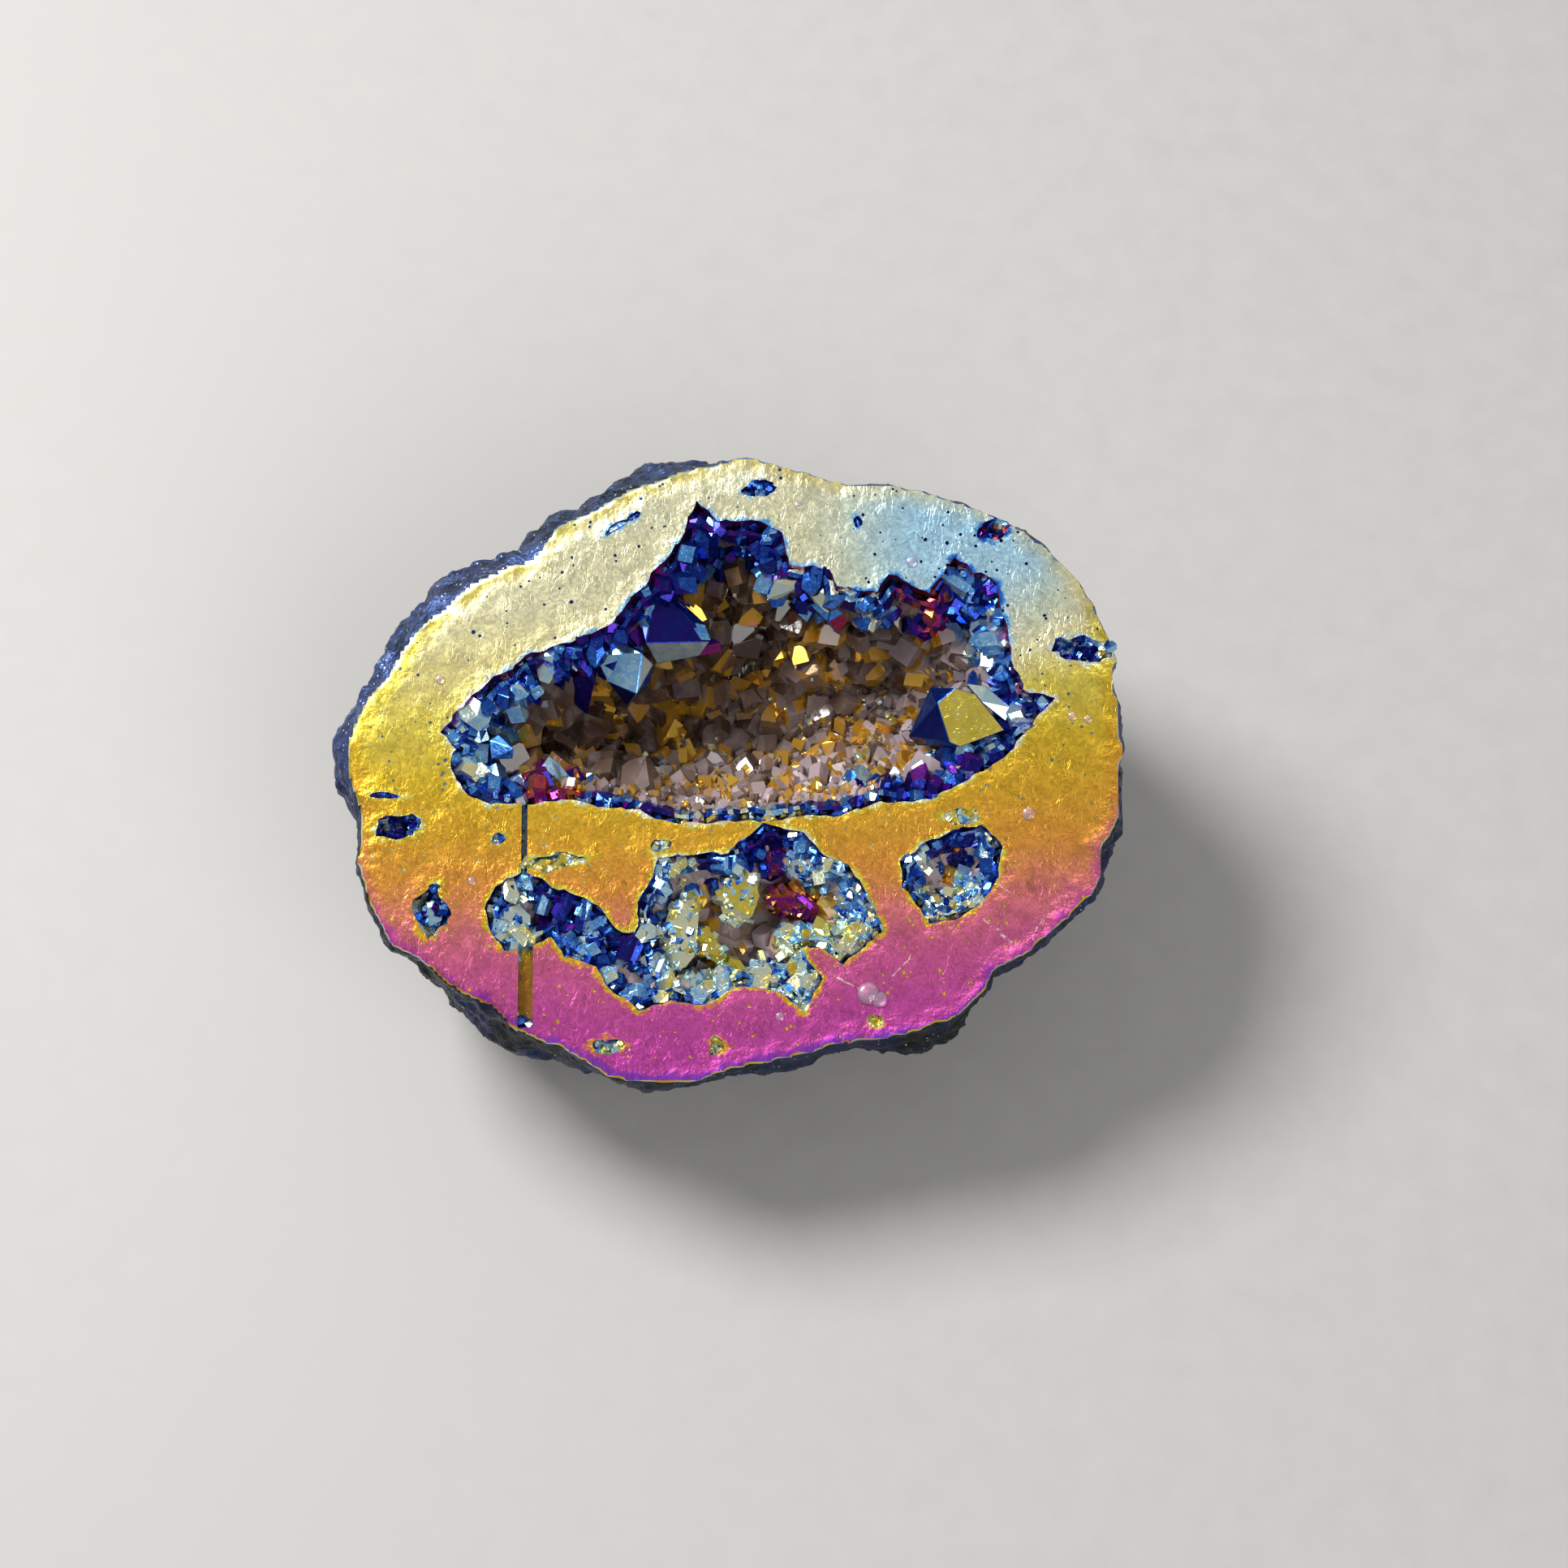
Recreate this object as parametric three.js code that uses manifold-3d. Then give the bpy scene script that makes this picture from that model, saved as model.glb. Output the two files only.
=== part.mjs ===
// Half of an aura quartz geode: a lumpy nodule sawn across, lying on its rind with the cut face up.
// The face holds one large hollow, a chain of small vugs below it and a round vug beside the chain,
// each lined with a crust of quartz points. Sizes are millimetres and +Z is up. The stone stands on a
// flat worn patch of its rind at Z = 0, with the cut face leaning towards -Y.
//
// Outlines and places on the cut face are given as u (right), v (up the face) and w (out of it).
import * as THREE from "three";
import { mergeVertices } from "three/addons/utils/BufferGeometryUtils.js";
import Module from "manifold-3d";

const wasm = await Module();
wasm.setup();

// Where the face lies: how far it leans, and the place of u = v = w = 0.
const FACE_TILT = THREE.MathUtils.degToRad(16);
const FACE_ORIGIN = new THREE.Vector3(0.62, -1.43, 19.3);

// The rind, from the cut face down to its lowest point.
const WAIST_DEPTH = 4.5;
const STONE_DEPTH = 21;
const DOME_FULLNESS = 0.75;
const KEEL_SHIFT = 7;
const RIND_SEGMENTS = 50;
const RIND_RINGS = 9;
const LUMP_SIZE = 6.5;
const LUMP_HEIGHT = 1.5;

// Crusts stand clear of the stone and end a little below the saw cut.
const CRUST_GAP = 0.35;
const SAW_CLEARANCE = 0.25;
const CRUST_THICKNESS = 1.4;
const CRUST_OPENING = 0.88;
const ABOVE_FACE = 2;
const OUTSIDE = 40;

// A hollow goes straight down for a quarter of its depth, and closes by these parts of it.
const STRAIGHT_PART = 0.25;
const CLOSING_PARTS = [0.5, 0.75, 0.92, 1];

// The sawn edge of the rind, anticlockwise from the right.
const FACE_OUTLINE = [
  [24.8, -0.5], [24.7, 4.3], [24.3, 6.3], [24.7, 7.5], [23.3, 10.8], [21.1, 13.9], [18.4, 16.1],
  [15.3, 17.5], [11.1, 18.7], [6.3, 19.3], [2.6, 20.3], [0.3, 21.0], [-1.3, 20.5], [-5.5, 19.2],
  [-9.0, 17.5], [-11.9, 16.1], [-13.2, 13.9], [-16.3, 12.8], [-19.2, 10.6], [-21.6, 8.3],
  [-22.6, 6.3], [-24.2, 4.5], [-25.2, 2.4], [-25.2, 0], [-24.3, -2.9], [-24.5, -6.1],
  [-23.6, -9.1], [-22.4, -11.2], [-20.1, -12.6], [-18.2, -14.2], [-16.1, -15.1], [-13.7, -17.1],
  [-11.1, -18.1], [-8.3, -19.9], [-3.7, -20.3], [-0.3, -19.3], [2.9, -18.7], [6.1, -17.7],
  [10.5, -17.2], [14.0, -16.0], [15.7, -14.5], [16.4, -12.9], [18.5, -12.1], [20.8, -9.9],
  [23.2, -7.6], [23.5, -5.1], [24.7, -2.9],
];

// Where the rind swells out past the cut: direction and spread in degrees, and how far.
const SWELLINGS = [
  { towards: 148, spread: 24, size: 2.4 },
  { towards: 108, spread: 12, size: 1.1 },
  { towards: 185, spread: 16, size: 0.6 },
  { towards: 220, spread: 12, size: 1.1 },
];

// Each hollow narrows towards its heart, down to a share of its width at the floor. closing sets how
// early it narrows, and softening how far the corners of its mouth round off on the way down.

// The large hollow. Its mouth runs anticlockwise from the spike at its right-hand end.
const CAVITY = {
  mouth: [
    [20.5, 4.8], [18.4, 5.2], [17.7, 7.2], [17.2, 10.7], [16.7, 12.6], [15.3, 12.9], [14.1, 13.9],
    [12.5, 11.6], [11.1, 12.2], [9.9, 13.0], [9.1, 11.8], [6.3, 12.0], [5.8, 13.3], [3.2, 13.6],
    [2.8, 15.5], [1.6, 16.4], [-1.6, 16.5], [-2.6, 17.7], [-3.8, 15.2], [-5.0, 13.5], [-6.8, 11.5],
    [-8.4, 9.5], [-11.1, 8.4], [-13.8, 7.5], [-16.1, 5.8], [-17.9, 4.3], [-19.1, 2.5], [-18.2, 1.5],
    [-18.6, 0.1], [-17.8, -1.1], [-16.1, -2.1], [-11.1, -1.8], [-6.8, -2.5], [-3.7, -3.4],
    [0.5, -3.1], [6.8, -2.7], [9.2, -1.9], [12.4, -1.8], [14.0, -0.8], [16.2, 0.4], [17.9, 1.7],
    [19.2, 3.5],
  ],
  heart: [0.5, 5.2],
  depth: 11.5,
  closing: 0.45,
  floorShare: 0.18,
  softening: 10,
};

// The chain of vugs, anticlockwise from its left-hand end.
const CHAIN = {
  mouth: [
    [-16.3, -9.0], [-16.0, -10.2], [-15.2, -11.5], [-13.4, -11.3], [-12.0, -10.7], [-11.2, -12.0],
    [-9.2, -12.7], [-8.2, -14.2], [-6.3, -15.4], [-4.2, -14.7], [-2.1, -15.2], [0.3, -13.7],
    [2.4, -14.2], [4.2, -15.5], [5.2, -13.6], [4.0, -11.5], [5.2, -11.3], [6.8, -12.4], [9.3, -10.4],
    [8.0, -7.6], [7.1, -6.4], [5.3, -5.6], [4.3, -4.1], [1.6, -3.7], [-0.8, -5.5], [-5.2, -5.7],
    [-5.5, -7.1], [-6.4, -8.6], [-6.7, -10.6], [-7.9, -10.4], [-9.1, -8.9], [-12.4, -7.4],
    [-14.0, -6.7], [-15.7, -7.7],
  ],
  heart: [-2.5, -10.0],
  depth: 5.4,
  closing: 0.1,
  floorShare: 0.78,
  softening: 2,
};

// The round vug to the right of the chain.
const ROUND = {
  mouth: [
    [10.6, -6.0], [10.5, -6.9], [11.3, -8.3], [12.4, -9.8], [14.2, -9.5], [15.8, -8.3], [16.7, -6.7],
    [17.0, -5.1], [15.7, -3.7], [13.8, -4.1], [12.1, -4.8],
  ],
  heart: [13.8, -6.6],
  depth: 5.0,
  closing: 0.2,
  floorShare: 0.6,
  softening: 1,
};

// Open pits in the face: centre, half width, half height, depth and turn in degrees.
const PITS = [
  { u: -22.0, v: -3.7, width: 1.6, height: 0.8, depth: 1.4, turn: 8 },
  { u: -19.8, v: -9.2, width: 1.0, height: 1.8, depth: 1.8, turn: -8 },
  { u: 22.6, v: 8.2, width: 2.2, height: 1.0, depth: 1.0, turn: -6 },
  { u: 16.7, v: 16.0, width: 1.2, height: 0.7, depth: 0.8, turn: 15 },
  { u: 1.3, v: 18.7, width: 1.2, height: 0.5, depth: 0.7, turn: 12 },
  { u: -8.4, v: -17.9, width: 1.1, height: 0.5, depth: 0.7, turn: 0 },
  { u: -1.3, v: -17.9, width: 0.6, height: 0.6, depth: 0.8, turn: 0 },
];

// Two stretches of an abandoned saw cut, straight down the left of the face.
const SAW_GROOVES = [
  { u: -13.85, top: -1.5, bottom: -6.9, width: 0.45, depth: 0.5 },
  { u: -13.7, top: -10.9, bottom: -16.7, width: 0.95, depth: 0.8 },
];

// The crystals that stand out of the crusts: root, tip and radius.
const CAVITY_GIANTS = [
  { root: [-6.2, 12.4, -3.2], tip: [-1.4, 8.2, -1.2], radius: 2.9 },
  { root: [-9.6, 9.6, -3.4], tip: [-7.2, 4.3, -1.8], radius: 2.4 },
  { root: [-12.8, 8.0, -4.2], tip: [-10.9, 4.4, -2.8], radius: 1.8 },
  { root: [4.9, 14.2, -2.4], tip: [6.2, 9.4, -1.2], radius: 2.1 },
  { root: [13.2, 13.4, -3.4], tip: [11.6, 8.6, -2.2], radius: 2.2 },
  { root: [18.4, 9.6, -3.8], tip: [14.2, 7.4, -2.0], radius: 1.9 },
  { root: [18.6, 3.4, -2.8], tip: [11.8, 3.0, -1.4], radius: 2.6 },
  { root: [16.0, -0.4, -4.2], tip: [11.6, 0.8, -2.4], radius: 1.8 },
];
const CHAIN_GIANTS = [
  { root: [-13.6, -9.4, -4.8], tip: [-13.2, -8.9, -1.6], radius: 1.3 },
  { root: [-9.6, -10.8, -4.8], tip: [-9.2, -10.4, -1.4], radius: 1.3 },
  { root: [-3.9, -11.8, -5.0], tip: [-3.4, -11.4, -0.7], radius: 2.0 },
  { root: [-0.3, -8.4, -5.0], tip: [-0.6, -8.2, -0.7], radius: 1.7 },
  { root: [2.8, -5.8, -5.0], tip: [2.6, -6.2, -1.0], radius: 1.5 },
  { root: [3.2, -8.8, -5.0], tip: [3.2, -8.8, -1.2], radius: 1.4 },
  { root: [6.6, -9.4, -5.0], tip: [6.2, -9.2, -1.3], radius: 1.4 },
];
const ROUND_GIANTS = [
  { root: [14.4, -5.4, -4.4], tip: [14.2, -5.8, -1.2], radius: 1.2 },
  { root: [12.4, -7.2, -4.4], tip: [12.8, -7.0, -1.6], radius: 1.1 },
];

// Rows of smaller crystals round the wall of the large hollow, from its mouth to its floor.
const CAVITY_ROWS = [
  { share: 0.95, w: -3.2, count: 17, radius: 1.5 },
  { share: 0.86, w: -6.4, count: 12, radius: 1.7 },
  { share: 0.66, w: -9.2, count: 9, radius: 1.8 },
  { share: 0.3, w: -11.0, count: 4, radius: 1.9 },
];
const ROW_SEED = 11;

// Small crystals strewn over the floor of a vug.
const STREWN_SPACING = 3.4;
const STREWN_RADIUS = 0.9;
const STREWN_LENGTH = 1.8;
const CHAIN_SEED = 5;
const ROUND_SEED = 8;

const GOLD = { color: 0xd0a743, roughness: 0.4, metalness: 0.85 };
const SMOKE = { color: 0x8a7866, roughness: 0.15, metalness: 0.1 };
const COBALT = { color: 0x4a63bd, roughness: 0.2, metalness: 0.7 };

const FACE_TO_PART = new THREE.Matrix4().makeRotationX(FACE_TILT).setPosition(FACE_ORIGIN);

// A repeatable stream of numbers from 0 to 1.
function randomStream(seed) {
  let state = seed;
  return () => {
    state = (state * 16807) % 2147483647;
    return state / 2147483647;
  };
}

// Rounded lumps from -1 to 1 at a place, as a sum of three crossed waves.
function lumpAt(x, y, z) {
  const coarse = Math.sin(1.1 * x + 1.3 * Math.sin(0.9 * y + z)) * Math.sin(1.2 * y + 0.7 - 0.8 * z);
  const middle = Math.sin(2.3 * x - 1.7 * y + 2.1) * Math.sin(0.6 * x + 1.9 * y + 2.1 * z);
  const fine = Math.sin(4.3 * x + 3.1 * z) * Math.sin(4.7 * y - 1.3 * x + 0.4);
  return 0.5 * coarse + 0.3 * middle + 0.2 * fine;
}

// A face-frame geometry as a solid in the part's own frame.
function solid(geometry) {
  const placed = geometry.clone().applyMatrix4(FACE_TO_PART);
  placed.deleteAttribute("normal");
  placed.deleteAttribute("uv");
  const merged = mergeVertices(placed);
  return new wasm.Manifold(
    new wasm.Mesh({
      numProp: 3,
      vertProperties: merged.attributes.position.array,
      triVerts: new Uint32Array(merged.index.array),
    }),
  );
}

const join = (solids) => solids.reduce((whole, next) => whole.add(next));

// The biggest body of a solid, without loose chips that a cut leaves.
const mainBody = (made) => made.decompose().reduce((a, b) => (a.volume() > b.volume() ? a : b));

// A closed geometry through rings of equal counts, each anticlockwise, from the top down.
function loft(rings) {
  const count = rings[0].length;
  const index = [];
  for (let start = 0; start < (rings.length - 1) * count; start += count) {
    for (let i = 0; i < count; i++) {
      const a = start + i;
      const b = start + ((i + 1) % count);
      index.push(a, a + count, b, b, a + count, b + count);
    }
  }
  const flat = (ring) => ring.map(([u, v]) => new THREE.Vector2(u, v));
  const bottom = (rings.length - 1) * count;
  THREE.ShapeUtils.triangulateShape(flat(rings[0]), []).forEach(([a, b, c]) => index.push(a, b, c));
  THREE.ShapeUtils.triangulateShape(flat(rings.at(-1)), []).forEach(([a, b, c]) =>
    index.push(bottom + a, bottom + c, bottom + b),
  );
  return new THREE.BufferGeometry()
    .setAttribute("position", new THREE.Float32BufferAttribute(rings.flat(2), 3))
    .setIndex(index);
}

// The distance from u = v = 0 to an outline, at an angle in degrees from 0 to 360.
function reach(outline, angle) {
  const corners = outline
    .map(([u, v]) => ({ r: Math.hypot(u, v), at: THREE.MathUtils.radToDeg(Math.atan2(v, u)) }))
    .map(({ r, at }) => ({ r, at: THREE.MathUtils.euclideanModulo(at, 360) }))
    .sort((a, b) => a.at - b.at);
  const first = { r: corners.at(-1).r, at: corners.at(-1).at - 360 };
  const last = { r: corners[0].r, at: corners[0].at + 360 };
  const around = [first, ...corners, last];
  const next = around.findIndex(({ at }) => at > angle);
  const [before, after] = [around[next - 1], around[next]];
  return THREE.MathUtils.mapLinear(angle, before.at, after.at, before.r, after.r);
}

// How far the rind swells past the cut, at an angle in degrees.
function swelling(angle) {
  return SWELLINGS.reduce((sum, { towards, spread, size }) => {
    const off = THREE.MathUtils.euclideanModulo(angle - towards + 180, 360) - 180;
    return sum + size * Math.exp(-((off / spread) ** 2));
  }, 0);
}

// The rind: swelling from the saw cut to its waist, then a lumpy dome that closes below.
function rind() {
  const ring = (depth, swollen, width) =>
    Array.from({ length: RIND_SEGMENTS }, (_, i) => {
      const angle = (360 * i) / RIND_SEGMENTS;
      const [u, v] = [Math.cos(THREE.MathUtils.degToRad(angle)), Math.sin(THREE.MathUtils.degToRad(angle))];
      const r = (reach(FACE_OUTLINE, angle) + swollen * swelling(angle)) * width;
      const lump = LUMP_HEIGHT * lumpAt((u * r) / LUMP_SIZE, (v * r) / LUMP_SIZE, depth / LUMP_SIZE);
      const grown = r + lump * Math.min(1, depth / WAIST_DEPTH) * width;
      return [u * grown, v * grown + KEEL_SHIFT * (1 - width), -depth];
    });
  const rings = [ring(0, 0, 1), ring(0.2 * WAIST_DEPTH, 0.5, 1), ring(0.55 * WAIST_DEPTH, 0.9, 1)];
  for (let k = 0; k < RIND_RINGS; k++) {
    const swing = (k / RIND_RINGS) * (Math.PI / 2);
    const depth = WAIST_DEPTH + (STONE_DEPTH - WAIST_DEPTH) * Math.sin(swing);
    rings.push(ring(depth, 1, Math.cos(swing) ** DOME_FULLNESS));
  }
  return solid(loft(rings));
}

// An outline with its corners rounded off, a little more at each pass.
function softened(outline, passes) {
  if (passes === 0) return outline;
  const rounder = outline.map(([u, v], i) => {
    const [beforeU, beforeV] = outline.at(i - 1);
    const [afterU, afterV] = outline[(i + 1) % outline.length];
    return [(beforeU + 2 * u + afterU) / 4, (beforeV + 2 * v + afterV) / 4];
  });
  return softened(rounder, passes - 1);
}

// An outline with every side moved inwards by a distance.
function inset(outline, distance) {
  const sharpest = 2.5;
  return outline.map((corner, i) => {
    const here = new THREE.Vector2(...corner);
    const before = here.clone().sub(new THREE.Vector2(...outline.at(i - 1))).normalize();
    const after = new THREE.Vector2(...outline[(i + 1) % outline.length]).sub(here).normalize();
    const inward = new THREE.Vector2(-before.y - after.y, before.x + after.x).normalize();
    const square = Math.max(1 / sharpest, inward.dot(new THREE.Vector2(-after.y, after.x)));
    return here.addScaledVector(inward, distance / square).toArray();
  });
}

// A place on the wall of a hollow: a point of its mouth, drawn in towards its heart.
function inwards({ heart }, [u, v], share, w) {
  return [THREE.MathUtils.lerp(heart[0], u, share), THREE.MathUtils.lerp(heart[1], v, share), w];
}

// The space of a hollow, shrunk by a gap: full width at the face, closing and rounder with depth.
function space(hollow, gap = 0) {
  const floor = hollow.depth - gap;
  const level = (part, share, w) =>
    inset(softened(hollow.mouth, Math.round(hollow.softening * part)), gap).map((corner) =>
      inwards(hollow, corner, share, w),
    );
  const rings = [level(0, 1, ABOVE_FACE), level(0, 1, -STRAIGHT_PART * floor)];
  for (const part of CLOSING_PARTS) {
    const share = Math.max(hollow.floorShare, (1 - part ** 2) ** hollow.closing);
    rings.push(level(part, share, -floor * part));
  }
  return solid(loft(rings));
}

// A six-sided quartz point from a root to a tip.
function quartzPoint({ root, tip, radius }, turn) {
  const axis = new THREE.Vector3(...tip).sub(new THREE.Vector3(...root));
  const length = axis.length();
  const shoulder = Math.max(0.25 * length, length - 1.2 * radius);
  const profile = [[0, 0], [0.85 * radius, 0], [radius, shoulder], [0, length]];
  const upright = new THREE.Vector3(0, 1, 0);
  const point = new THREE.LatheGeometry(profile.map(([r, y]) => new THREE.Vector2(r, y)), 6)
    .rotateY(turn)
    .applyQuaternion(new THREE.Quaternion().setFromUnitVectors(upright, axis.normalize()))
    .translate(...root);
  return solid(point);
}

const giants = (list) => list.map((giant, i) => quartzPoint(giant, 0.7 * i));

// Crystals round the wall of the large hollow, each leaning in towards its heart and up.
function wallCrystals() {
  const random = randomStream(ROW_SEED);
  const rim = new THREE.Path(CAVITY.mouth.map(([u, v]) => new THREE.Vector2(u, v))).closePath();
  return CAVITY_ROWS.flatMap(({ share, w, count, radius }) =>
    Array.from({ length: count }, (_, i) => {
      const corner = rim.getPointAt((i + 0.6 * random()) / count).toArray();
      const root = new THREE.Vector3(...inwards(CAVITY, corner, share, w + random()));
      const lean = new THREE.Vector3(CAVITY.heart[0] - root.x, CAVITY.heart[1] - root.y, 0)
        .setLength(share)
        .add(new THREE.Vector3(0.6 * random() - 0.3, 0.6 * random() - 0.3, 1.2 - share))
        .normalize();
      const size = radius * (0.8 + 0.4 * random());
      const tip = root.clone().addScaledVector(lean, 1.9 * size);
      return quartzPoint({ root, tip, radius: size }, random() * Math.PI);
    }),
  );
}

// Small crystals over the floor of a vug, on a loose grid.
function strewnCrystals({ mouth, depth }, seed) {
  const random = randomStream(seed);
  const box = new THREE.Box2().setFromPoints(mouth.map(([u, v]) => new THREE.Vector2(u, v)));
  const strewn = [];
  for (let u = box.min.x + 1; u < box.max.x; u += STREWN_SPACING) {
    for (let v = box.min.y + 1; v < box.max.y; v += STREWN_SPACING) {
      const root = new THREE.Vector3(u + random() - 0.5, v + random() - 0.5, 1 - depth);
      const tip = root.clone().add(new THREE.Vector3(random() - 0.5, random() - 0.5, STREWN_LENGTH));
      strewn.push(quartzPoint({ root, tip, radius: STREWN_RADIUS * (0.8 + 0.4 * random()) }, 3 * random()));
    }
  }
  return strewn;
}

function block(low, high) {
  const box = new THREE.Box3(new THREE.Vector3(...low), new THREE.Vector3(...high));
  return new THREE.BoxGeometry(...box.getSize(new THREE.Vector3())).translate(
    ...box.getCenter(new THREE.Vector3()),
  );
}

const underSaw = solid(block([-OUTSIDE, -OUTSIDE, -OUTSIDE], [OUTSIDE, OUTSIDE, -SAW_CLEARANCE]));

function geodeShell() {
  const pits = PITS.map(({ u, v, width, height, depth, turn }) =>
    solid(
      new THREE.IcosahedronGeometry(1, 1)
        .scale(width, height, depth)
        .rotateZ(THREE.MathUtils.degToRad(turn))
        .translate(u, v, 0),
    ),
  );
  const grooves = SAW_GROOVES.map(({ u, top, bottom, width, depth }) =>
    solid(block([u - width / 2, bottom, -depth], [u + width / 2, top, ABOVE_FACE])),
  );
  const ground = block([-OUTSIDE, -OUTSIDE, -OUTSIDE], [OUTSIDE, OUTSIDE, 0]);
  ground.applyMatrix4(FACE_TO_PART.clone().invert());
  const taken = join([space(CAVITY), space(CHAIN), space(ROUND), ...pits, ...grooves, solid(ground)]);
  return mainBody(rind().subtract(taken));
}

// The crust of a hollow: a lining of its wall and floor, with crystals standing out of it.
function crust(hollow, crystals) {
  const room = space(hollow, CRUST_GAP);
  const mouth = hollow.mouth.map((corner) => inwards(hollow, corner, CRUST_OPENING, 0));
  const lining = room.subtract(space({ ...hollow, mouth, depth: hollow.depth - CRUST_THICKNESS }));
  return mainBody(lining.add(join(crystals).intersect(room)).intersect(underSaw));
}

function piece(name, made, finish) {
  const { vertProperties, triVerts } = made.getMesh();
  const geometry = new THREE.BufferGeometry()
    .setAttribute("position", new THREE.BufferAttribute(vertProperties, 3))
    .setIndex(new THREE.BufferAttribute(triVerts, 1));
  const mesh = new THREE.Mesh(geometry, new THREE.MeshStandardMaterial({ ...finish, flatShading: true }));
  mesh.name = name;
  return mesh;
}

const cavityCrystals = [...giants(CAVITY_GIANTS), ...wallCrystals()];
const chainCrystals = [...giants(CHAIN_GIANTS), ...strewnCrystals(CHAIN, CHAIN_SEED)];
const roundCrystals = [...giants(ROUND_GIANTS), ...strewnCrystals(ROUND, ROUND_SEED)];

const geode = new THREE.Group();
geode.add(
  piece("geode_shell", geodeShell(), GOLD),
  piece("cavity_crystals", crust(CAVITY, cavityCrystals), SMOKE),
  piece("vug_chain_crystals", crust(CHAIN, chainCrystals), COBALT),
  piece("round_vug_crystals", crust(ROUND, roundCrystals), COBALT),
);

export default geode;
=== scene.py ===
# Half of an aura quartz geode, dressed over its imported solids: a lapped cut face with a rainbow metal
# coat, a rough dark rind, and hollows lined with quartz points that are coated near the face and
# smoky below. Places on the cut face are u (right), v (up the face) and w (out of it). Lengths are in
# millimetres until MM makes metres of them.
import math
import random
from collections import namedtuple

import bpy
import numpy as np
from mathutils import Matrix, Vector, noise


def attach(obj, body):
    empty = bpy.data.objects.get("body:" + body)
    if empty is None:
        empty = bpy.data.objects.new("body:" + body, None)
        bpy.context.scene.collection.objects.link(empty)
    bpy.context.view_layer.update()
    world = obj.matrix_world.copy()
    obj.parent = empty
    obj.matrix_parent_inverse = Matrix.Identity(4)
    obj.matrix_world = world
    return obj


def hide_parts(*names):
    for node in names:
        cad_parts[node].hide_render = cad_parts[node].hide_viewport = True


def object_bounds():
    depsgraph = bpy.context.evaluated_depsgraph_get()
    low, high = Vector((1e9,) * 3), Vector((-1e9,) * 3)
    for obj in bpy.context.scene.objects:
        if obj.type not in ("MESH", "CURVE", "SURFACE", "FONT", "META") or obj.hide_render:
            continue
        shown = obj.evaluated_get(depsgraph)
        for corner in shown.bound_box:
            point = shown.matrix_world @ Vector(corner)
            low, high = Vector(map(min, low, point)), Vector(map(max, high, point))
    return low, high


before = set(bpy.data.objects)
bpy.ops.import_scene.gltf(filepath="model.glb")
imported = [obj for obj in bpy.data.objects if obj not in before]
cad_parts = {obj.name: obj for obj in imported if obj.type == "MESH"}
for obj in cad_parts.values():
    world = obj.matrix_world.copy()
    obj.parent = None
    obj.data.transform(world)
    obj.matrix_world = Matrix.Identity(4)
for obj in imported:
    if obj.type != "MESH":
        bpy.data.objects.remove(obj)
cad_low, cad_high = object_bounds()

# Vector noise starts from the clock unless it is given a seed
NOISE_SEED = 5
noise.seed_set(NOISE_SEED)

MM = 0.001
FACE_TILT = math.radians(16)
FACE_ORIGIN = Vector((0.62, -1.43, 19.3)) * MM
FACE_TO_PART = Matrix.Translation(FACE_ORIGIN) @ Matrix.Rotation(FACE_TILT, 4, "X")
INTO_FACE = FACE_TO_PART.inverted()
FACE_AXIS = Vector((0, -math.sin(FACE_TILT), math.cos(FACE_TILT)))

# The rind
WAIST_DEPTH = 4.5
STONE_DEPTH = 21
DOME_FULLNESS = 0.75
KEEL_SHIFT = 7
RIND_SEGMENTS = 240
RIND_RINGS = 26
LUMP_SIZE = 6.5
LUMP_HEIGHT = 1.5
RIND_VOXEL = 0.3
BOX_MARGIN = 0.02
SMOOTH_ANGLE = math.radians(35)
# Rings above the waist: their part of its depth, and of the full swelling
EDGE_RINGS = [(0, 0), (0.2, 0.5), (0.55, 0.9)]
# Nicks in the rings: height, how many to a millimetre, and level in the noise
NICKS = [(0.22, 1.1, 3), (0.1, 2.9, 9)]
# Grain of the rind: size and height, the depth at which it starts, and how far below that it is full
RIND_GRAINS = [(3.0, 1.2), (1.2, 0.65), (0.5, 0.3)]
GRAIN_START = 0.1
GRAIN_GROWTH = 0.9

FACE_OUTLINE = [
    (24.8, -0.5), (24.7, 4.3), (24.3, 6.3), (24.7, 7.5), (23.3, 10.8), (21.1, 13.9), (18.4, 16.1),
    (15.3, 17.5), (11.1, 18.7), (6.3, 19.3), (2.6, 20.3), (0.3, 21.0), (-1.3, 20.5), (-5.5, 19.2),
    (-9.0, 17.5), (-11.9, 16.1), (-13.2, 13.9), (-16.3, 12.8), (-19.2, 10.6), (-21.6, 8.3),
    (-22.6, 6.3), (-24.2, 4.5), (-25.2, 2.4), (-25.2, 0), (-24.3, -2.9), (-24.5, -6.1),
    (-23.6, -9.1), (-22.4, -11.2), (-20.1, -12.6), (-18.2, -14.2), (-16.1, -15.1), (-13.7, -17.1),
    (-11.1, -18.1), (-8.3, -19.9), (-3.7, -20.3), (-0.3, -19.3), (2.9, -18.7), (6.1, -17.7),
    (10.5, -17.2), (14.0, -16.0), (15.7, -14.5), (16.4, -12.9), (18.5, -12.1), (20.8, -9.9),
    (23.2, -7.6), (23.5, -5.1), (24.7, -2.9),
]
# Where the rind swells out: the way it faces in degrees, its spread in degrees, and its height
SWELLINGS = [(148, 24, 2.4), (108, 12, 1.1), (185, 16, 0.6), (220, 12, 1.1)]

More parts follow.
